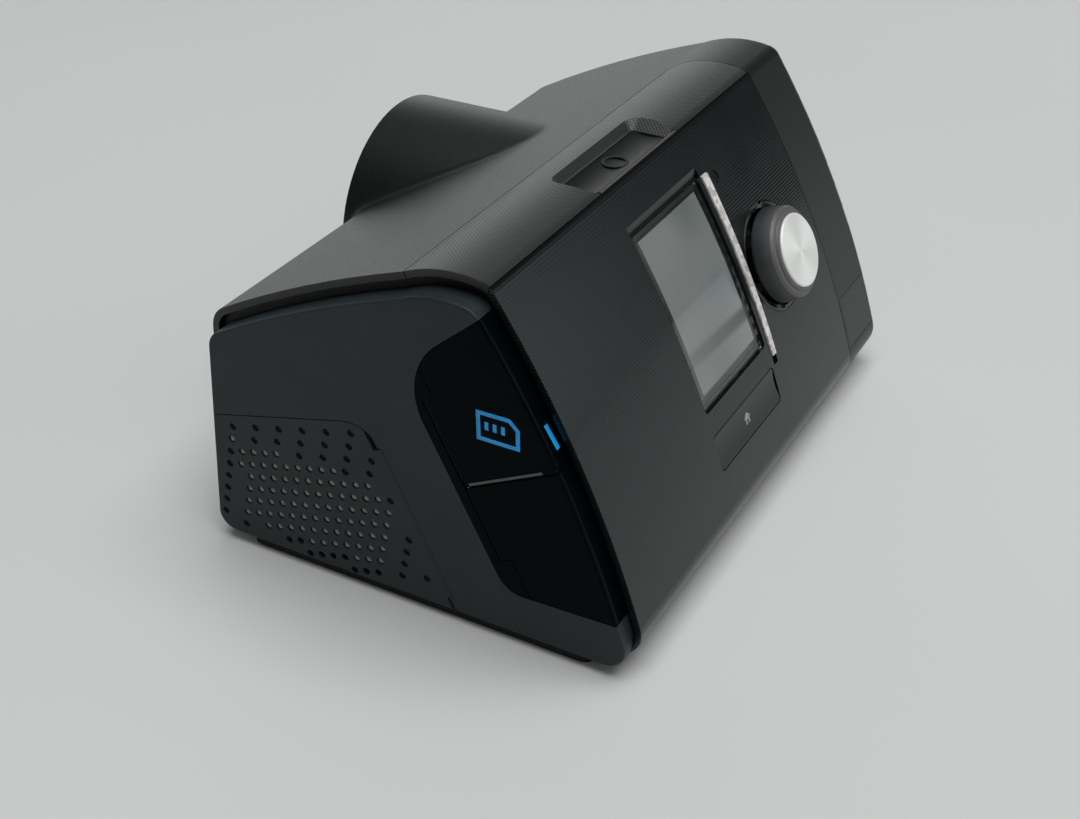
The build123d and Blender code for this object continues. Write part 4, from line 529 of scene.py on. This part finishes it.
def filter_tufts(centres):
    """Low domes along -X from the mat's face: TUFT_RINGS gives each ring's radius and rise."""
    turn = np.arange(TUFT_SIDES) * 2 * math.pi / TUFT_SIDES
    radius, rise = np.array(TUFT_RINGS).T
    y = centres[:, 0, None, None] + radius[:, None] * np.cos(turn)
    z = centres[:, 1, None, None] + radius[:, None] * np.sin(turn)
    x = np.broadcast_to(MAT_FACE - rise[:, None], y.shape)
    index = np.arange(y.size).reshape(y.shape)
    after = np.roll(index, -1, axis=2)
    walls = np.stack([index[:, :-1], index[:, 1:], after[:, 1:], after[:, :-1]], axis=-1)
    caps = index[:, -1, ::-1].tolist() + index[:, 0].tolist()
    return new_piece("filter_tufts", np.stack([x, y, z], axis=-1),
                     walls.reshape(-1, 4).tolist() + caps)


dress(fibrous("filter_fibre", MAT_WHITE, FIBRE, FIBRE_DEPTH), "air_filter")
tufts = filter_tufts(vent_holes())
tufts.data.materials.append(fibrous("filter_tuft_grey", TUFT_GREY, FIBRE, FIBRE_DEPTH))
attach(tufts, "housing")


# ---------------------------------------------------------------- start button and status light
# A gloss black key in the scoop of the top band, and the unlit grey-brown light strip before it.
dress(polished("key_gloss", (0.003, 0.004, 0.0045), roughness=0.3, level=0.15, coat=0.0),
      "start_button")
dress(moulded("light_strip", (0.070, 0.062, 0.060), 0.35, grain=0.0005, depth=0.00002),
      "status_light")


# ---------------------------------------------------------------- screen
# The clear window over the unlit grey display, in a black frame. The display's grey is lightened as
# painted reflection, and its tinges and dark streak are painted reflections. The display is a thin
# sheet with a black printed edge, close behind the window, and the module with its light lies under
# it.
FRONT_MIDDLE = (0.261087, -0.082410)
FRONT_BOW = 0.350
SHEET_DEPTH = 0.0024
SHEET_T = 0.0004
SHEET_X = (-0.0288, 0.0134)
SHEET_Z = (0.0504, 0.0992)
SHEET_STEPS = (12, 25)
SEEN_X = (-0.0264, 0.0133)
SEEN_Z = (0.0505, 0.0974)
MASK_FRONT = SHEET_DEPTH - 0.00008
MASK_BACK = SHEET_DEPTH - 0.00002
MASK_STEPS = 16
# The display's own grey, lightened as painted reflection; the tinges and the dark streak are
# painted reflections.
DISPLAY_DARK = (0.38, 0.395, 0.375)
DISPLAY_LIGHT = (0.50, 0.505, 0.48)
REFLECTION_TINGES = [((0.0040, -0.048, 0.0700), 0.013, (0.36, 0.41, 0.45)),
          ((-0.0090, -0.057, 0.0535), 0.026, (0.30, 0.295, 0.28)),
          ((0.0045, -0.037, 0.0960), 0.016, (0.30, 0.335, 0.305))]
REFLECTION_STREAK_ACROSS = (0.0487, 0.0, 0.9988)
REFLECTION_STREAK_AT = 0.0597
REFLECTION_STREAK_EDGES = (0.0034, 0.0008)
REFLECTION_STREAK_X = (-0.026, 0.012)
REFLECTION_STREAK_GREY = (0.02, 0.024, 0.024)


def clear_sheet(name, tint, roughness=0.02, haze=0.02):
    """Clear plastic with a trace of haze, seen as a slow change of roughness."""
    finish, tree, place = new_finish(name, Base_Color=(*tint, 1), Transmission_Weight=1.0, IOR=1.45)
    cloud = noise(tree, place, 60.0, 3.0)
    surface(tree, Roughness=mapped(tree, cloud, (0.4, 0.7), (roughness, roughness + haze)))
    return finish


def blend_by(tree, amount, below, above):
    """Mixes two colours, each a triple or another mix's output, by an output from 0 to 1."""
    made = tree.nodes.new("ShaderNodeMix")
    made.data_type = "VECTOR"
    for slot, value in ((0, amount), (4, below), (5, above)):
        feed(tree, made.inputs[slot], value)
    return made.outputs[1]


def display_finish():
    """
    Unlit grey display: a slow cloud of two greys, lightened to stand in for reflection, tinges that
    each fade with the distance from a point, and a soft dark streak across it, which weakens
    towards the left. The tinges and the streak are painted reflections.
    """
    finish, tree, place = new_finish("display_grey_painted_reflection", Roughness=0.35, Specular_IOR_Level=0.4)
    grey = blend_by(tree, noise(tree, place, 70.0, 2.0, 0.45), DISPLAY_DARK, DISPLAY_LIGHT)
    # Painted reflections: tinges of colour round points.
    for middle, reach, tint in REFLECTION_TINGES:
        gap = vector_maths(tree, "DISTANCE", place, middle, gives="Value")
        near = mapped(tree, gap, (reach, 0.0), (0.0, 1.0), smooth=True)
        grey = blend_by(tree, near, grey, tint)
    # Painted reflection: a soft dark streak across the display.
    off_line = vector_maths(tree, "DOT_PRODUCT", place, REFLECTION_STREAK_ACROSS, gives="Value")
    away = maths(tree, "ABSOLUTE", maths(tree, "SUBTRACT", off_line, REFLECTION_STREAK_AT))
    dip = mapped(tree, away, REFLECTION_STREAK_EDGES, (0.0, 0.95), smooth=True)
    grow = mapped(tree, along(tree, place, "X"), REFLECTION_STREAK_X, (0.35, 1.0))
    streak = maths(tree, "MULTIPLY", dip, grow)
    surface(tree, Base_Color=blend_by(tree, streak, grey, REFLECTION_STREAK_GREY))
    return finish


def bowed(x, z, depth):
    """Points at a depth behind the front's face: y lies on a circle about FRONT_MIDDLE."""
    y = FRONT_MIDDLE[0] - np.sqrt((FRONT_BOW - depth) ** 2 - (z - FRONT_MIDDLE[1]) ** 2)
    return np.stack([x, y, z], axis=-1)


def display_sheet():
    """
    Bowed plate: x and z run evenly over the display's opening, the back lies SHEET_T behind the
    face, and the edges are square.
    """
    x, z = np.meshgrid(np.linspace(*SHEET_X, SHEET_STEPS[0]), np.linspace(*SHEET_Z, SHEET_STEPS[1]),
                       indexing="ij")
    face, back = bowed(x, z, SHEET_DEPTH), bowed(x, z, SHEET_DEPTH + SHEET_T)
    loop = np.concatenate([face, back[:, ::-1]], axis=1)[::-1]
    index = np.arange(loop[..., 0].size).reshape(loop.shape[:2]).tolist()
    ends = [[row[k], row[k + 1], row[-2 - k], row[-1 - k]][::flip]
            for row, flip in ((index[0], -1), (index[-1], 1)) for k in range(SHEET_STEPS[1] - 1)]
    return grid_mesh("display_sheet", loop, close_v=True, ends=ends, smooth=False)


def display_mask():
    """Black printed edge: a bowed ring from the display's visible part out to the sheet's edge."""
    run = np.arange(MASK_STEPS)[:, None] / MASK_STEPS

    def loop(x, z):
        corners = np.array([(x[0], z[0]), (x[1], z[0]), (x[1], z[1]), (x[0], z[1])])
        return np.concatenate([a + (b - a) * run for a, b in zip(corners, np.roll(corners, -1, 0))])

    inner, outer = loop(SEEN_X, SEEN_Z), loop(SHEET_X, SHEET_Z)
    rings = [bowed(ring[:, 0], ring[:, 1], depth)
             for ring, depth in ((inner, MASK_FRONT), (outer, MASK_FRONT),
                                 (outer, MASK_BACK), (inner, MASK_BACK))]
    return grid_mesh("display_mask", np.stack(rings, axis=1)[::-1], close_u=True, close_v=True)


sheet = display_sheet()
sheet.data.materials.append(display_finish())
mask = display_mask()
mask.data.materials.append(polished("mask_black", (0.004, 0.005, 0.0055), roughness=0.2))
for piece in (sheet, mask):
    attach(piece, "housing")
dress(clear_sheet("window_clear", (0.93, 0.95, 0.95)), "screen_window")
dress(moulded("tray_white", (0.55, 0.55, 0.53), 0.5), "display_module")
dress(moulded("frame_black", (0.006, 0.007, 0.0075), 0.4), "screen_frame")
dress(moulded("label_black", (0.012, 0.013, 0.014), 0.4), "label_plate")


# ---------------------------------------------------------------- home key
# The wide key below the screen, dished a little, with a small printed house in its middle.
HOUSE = [(-0.0014, -0.0021), (-0.0005, -0.0021), (-0.0005, -0.0004), (0.0005, -0.0004),
         (0.0005, -0.0021), (0.0014, -0.0021), (0.0014, 0.0001), (0.0023, 0.0001),
         (0.0, 0.0023), (-0.0023, 0.0001), (-0.0014, 0.0001)]
KEY_MIDDLE = Vector((-0.0077, -0.0687743, 0.0346))
KEY_OUT = Vector((0, -0.942462, 0.334313))
KEY_UP = Vector((0, 0.334313, 0.942462))
KEY_DISH = 0.0005


def filled_mark(name, outline, place, across, up):
    """A closed outline as a plate MARK_T thick: (p, q) lies at place + p * across + q * up."""
    half = across.cross(up) * (MARK_T / 2)
    face = [place + across * p + up * q for p, q in outline]
    count = len(face)
    walls = [[i, i + count, (i + 1) % count + count, (i + 1) % count] for i in range(count)]
    plates = [list(range(count)), list(range(2 * count - 1, count - 1, -1))]
    return new_piece(name, [v + half for v in face] + [v - half for v in face], plates + walls)


dress(polished("home_gloss", (0.006, 0.0075, 0.0085), roughness=0.16, level=0.3, coat=0.1),
      "home_button")
house = filled_mark("home_mark", HOUSE, KEY_MIDDLE - KEY_OUT * (KEY_DISH - MARK_T),
                    across=Vector((1, 0, 0)), up=KEY_UP)
house.data.materials.append(moulded("home_ink", (0.30, 0.30, 0.30), 0.5, grain=0.0004,
                                    depth=0.000004))
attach(house, "home_button")


# ---------------------------------------------------------------- trim strip and light sensor
# A bright strip beside the screen, cast with a fine broken sparkle, and the sensor's dark lens.
TRIM_SILVER = (0.90, 0.86, 0.83)
CRYSTAL = 0.0016
CRYSTAL_DEPTH = 0.00008


def sparkling(name, colour, grain, depth):
    """Silver with crystals: cells of random tilt and shade under a clear coat."""
    finish, tree, place = new_finish(name, Metallic=0.15, Roughness=0.35, Coat_Weight=0.3)
    cells = shader(tree, "ShaderNodeTexVoronoi", Vector=place, Scale=1.0 / grain)
    bright = shader(tree, "ShaderNodeSeparateColor", Color=cells.outputs["Color"]).outputs["Red"]
    shade = mapped(tree, bright, (0.15, 0.85), (0.62, 1.0))
    surface(tree, Base_Color=scaled(tree, colour, shade))
    emboss(tree, cells.outputs["Distance"], depth, strength=0.8)
    return finish


dress(sparkling("trim_silver", TRIM_SILVER, CRYSTAL, CRYSTAL_DEPTH), "trim_strip")
dress(polished("sensor_lens", (0.01, 0.012, 0.014), roughness=0.08), "light_sensor")


# ---------------------------------------------------------------- dial
# A soft grey grip with a stepped crown, painted darker next to the panel as painted shade; a turned
# aluminium face with painted shade in its grooves and a painted highlight in a bright fan of light;
# and the black ring that it stands in.
DIAL_AT = Vector((0.0402, -0.0552779, 0.0673))
DIAL_N = Vector((0, -0.903901, 0.427742))
DIAL_SILVER = (0.99, 1.0, 0.98)
# The darker grey is painted shade on the grip next to the panel; the paler grey is the grip's own.
GRIP_PAINTED_SHADE = (0.020, 0.025, 0.028)
GRIP_GREY = (0.120, 0.120, 0.120)
GRIP_RISE = (0.002, 0.0105)
TURN_PITCH = 0.00028
TURN_DEPTH = 0.000012
PAINTED_FAN_COUNT = 3.0
PAINTED_FAN_TURN = 0.6


def turned_metal(name, colour, roughness, pitch, depth):
    """
    Metal turned in a lathe: the height is a sine of the distance from the dial's axis, and the
    colour dims a little with it as painted shade in the grooves. The brightness is a sine of three
    times the
    angle round it: a painted highlight in the fan shapes of light that a spun face reflects.
    """
    finish, tree, place = new_finish(name, Metallic=0.1, Roughness=roughness)
    offset = vector_maths(tree, "SUBTRACT", place, DIAL_AT)
    square = vector_maths(tree, "CROSS_PRODUCT", offset, DIAL_N)
    radius = vector_maths(tree, "LENGTH", square, gives="Value")
    wave = maths(tree, "SINE", maths(tree, "MULTIPLY", radius, 2 * math.pi / pitch))
    # Painted shade: the colour dims a little in the grooves.
    shade = mapped(tree, wave, SINE_SPAN, (0.95, 1.0))
    up = DIAL_N.cross(Vector((1, 0, 0)))
    rise = vector_maths(tree, "DOT_PRODUCT", offset, up, gives="Value")
    angle = maths(tree, "ARCTAN2", rise, along(tree, offset, "X"))
    # Painted highlight: the colour brightens in three fan-shaped sectors round the axis.
    turns = maths(tree, "ADD", maths(tree, "MULTIPLY", angle, PAINTED_FAN_COUNT), PAINTED_FAN_TURN)
    painted_fans = mapped(tree, maths(tree, "SINE", turns), SINE_SPAN, (0.82, 1.0))
    surface(tree, Base_Color=scaled(tree, colour, maths(tree, "MULTIPLY", shade, painted_fans)))
    emboss(tree, wave, depth)
    return finish


def grip_with_painted_shade(name, low, high, roughness):
    """Soft-touch plastic that pales from the panel out, with the height along the dial's axis: the
    darker colour next to the panel is painted shade.
    """
    finish = moulded(name, low, roughness, grain=0.0005, depth=0.00001)
    tree = finish.node_tree
    cloud = tree.nodes["Principled BSDF"].inputs["Base Color"].links[0].from_node
    place = tree.nodes.new("ShaderNodeTexCoord").outputs["Object"]
    height = vector_maths(tree, "DOT_PRODUCT", place, DIAL_N, gives="Value")
    span = [DIAL_AT.dot(DIAL_N) + rise for rise in GRIP_RISE]
    # Painted shade: darkest next to the panel, paling out along the dial's axis.
    pale = mapped(tree, height, span, (0.0, 1.0), smooth=True)
    feed(tree, cloud.inputs[0], blend_by(tree, pale, low, high))
    return finish


dress(turned_metal("dial_aluminium", DIAL_SILVER, 0.32, TURN_PITCH, TURN_DEPTH), "dial_face")
dress(grip_with_painted_shade("dial_grip_painted_shade", GRIP_PAINTED_SHADE, GRIP_GREY, 0.42), "dial_grip")
dress(polished("dial_ring_black", (0.004, 0.005, 0.006), roughness=0.2), "dial_ring")


# ---------------------------------------------------------------- shafts, pins and other steel
# Ground steel: fine scratches round the length of the piece, and a slight change of brightness.
SCRATCH = 0.0006


def brushed(name, colour, roughness, ratios=(1, 1, 12), depth=0.000006):
    """Metal with fine scratches: noise drawn out along one axis sets its height and roughness."""
    finish, tree, place = new_finish(name, Metallic=1.0)
    lines = noise(tree, stretched(tree, place, SCRATCH, ratios), 1.0, 3.0)
    sheen = (roughness - 0.08, roughness + 0.1)
    surface(tree, Base_Color=scaled(tree, colour, mapped(tree, lines, NOISE_SPAN, (0.85, 1.05))),
            Roughness=mapped(tree, lines, NOISE_SPAN, sheen))
    emboss(tree, lines, depth)
    return finish


dress(brushed("ground_steel", (0.56, 0.57, 0.58), 0.3),
      "hinge_rods", "dial_shaft", "rotor_shaft", "rotor_bearings", "power_pin", "board_screws",
      "encoder_plunger")
dress(brushed("heater_metal", (0.16, 0.165, 0.17), 0.45, ratios=(12, 1, 1)), "heater_plate")
dress(brushed("tub_metal", (0.62, 0.63, 0.63), 0.25, ratios=(1, 12, 1)), "tub_plate")


# ---------------------------------------------------------------- circuit boards and their parts
# Green boards below and black ones behind the controls, with paler tracks under the mask, black
# moulded parts and a blue memory card.
TRACK_SCALE = 160.0
TRACK_WIDTH = 0.05
TRACK_DEPTH = 0.00003


def board_finish(name, mask, track):
    """Solder mask: tracks from the edges of a brick pattern, raised and paler."""
    finish, tree, place = new_finish(name, Roughness=0.35, Coat_Weight=0.3)
    tracks = shader(tree, "ShaderNodeTexBrick", Vector=place, Scale=TRACK_SCALE, Color1=(*mask, 1),
                    Color2=(*mask, 1), Mortar=(*track, 1), Mortar_Size=TRACK_WIDTH)
    surface(tree, Base_Color=tracks.outputs["Color"])
    emboss(tree, tracks.outputs["Fac"], TRACK_DEPTH)
    return finish


dress(board_finish("board_green", (0.011, 0.092, 0.037), (0.03, 0.19, 0.07)),
      "main_board", "card_board")
dress(board_finish("board_black", (0.005, 0.006, 0.006), (0.014, 0.016, 0.015)),
      "display_board", "switch_board")
dress(moulded("part_black", (0.018, 0.018, 0.019), 0.45),
      "board_parts", "encoder", "key_switches", "power_inlet")
dress(moulded("card_plastic", (0.006, 0.05, 0.22), 0.4), "memory_card")


# ---------------------------------------------------------------- blower and air path
# Pale grey mouldings for the blower housing, the duct and the intake box, a white nylon impeller,
# copper windings, open foam in the muffler and soft grey silicone where parts meet.
def foamed(name, colour, cell, depth):
    """Open-cell foam: cell walls from a Voronoi pattern, with painted shade dark inside the cells.
    """
    finish, tree, place = new_finish(name, Roughness=0.95, Specular_IOR_Level=0.1)
    cells = shader(tree, "ShaderNodeTexVoronoi", Vector=place, Scale=1.0 / cell)
    # Painted shade: the colour darkens towards the middle of each cell.
    shade = mapped(tree, cells.outputs["Distance"], (0.1, 0.6), (0.3, 1.1))
    surface(tree, Base_Color=scaled(tree, colour, shade))
    emboss(tree, cells.outputs["Distance"], depth)
    return finish


dress(moulded("duct_grey", (0.33, 0.34, 0.34), 0.5, grain=0.0007, depth=0.00002),
      "volute_lower", "volute_upper", "inlet_duct", "intake_box", "outlet_elbow")
dress(moulded("nylon_white", (0.72, 0.72, 0.69), 0.4), "impeller")
dress(foamed("muffler_cells", (0.075, 0.077, 0.08), cell=0.0016, depth=0.0006), "muffler_foam")
dress(brushed("copper_windings", (0.58, 0.24, 0.11), 0.35, ratios=(6, 6, 0.6), depth=0.00006),
      "motor_stator")
dress(moulded("silicone_grey", (0.16, 0.165, 0.17), 0.65),
      "blower_mounts", "outlet_seal", "tub_seal")
dress(moulded("outlet_black", (0.013, 0.014, 0.014), 0.45), "outlet_tube")
dress(moulded("sensor_white", (0.55, 0.55, 0.52), 0.45), "flow_sensor")


# ---------------------------------------------------------------- humidifier
# A dark liner, and a tub of clear smoky plastic that slides out with the right end of the machine.
dress(moulded("bay_dark", (0.03, 0.031, 0.033), 0.5), "tub_bay")
dress(clear_sheet("tub_smoke", (0.62, 0.68, 0.70), roughness=0.05, haze=0.06),
      "tub_base", "tub_lid")
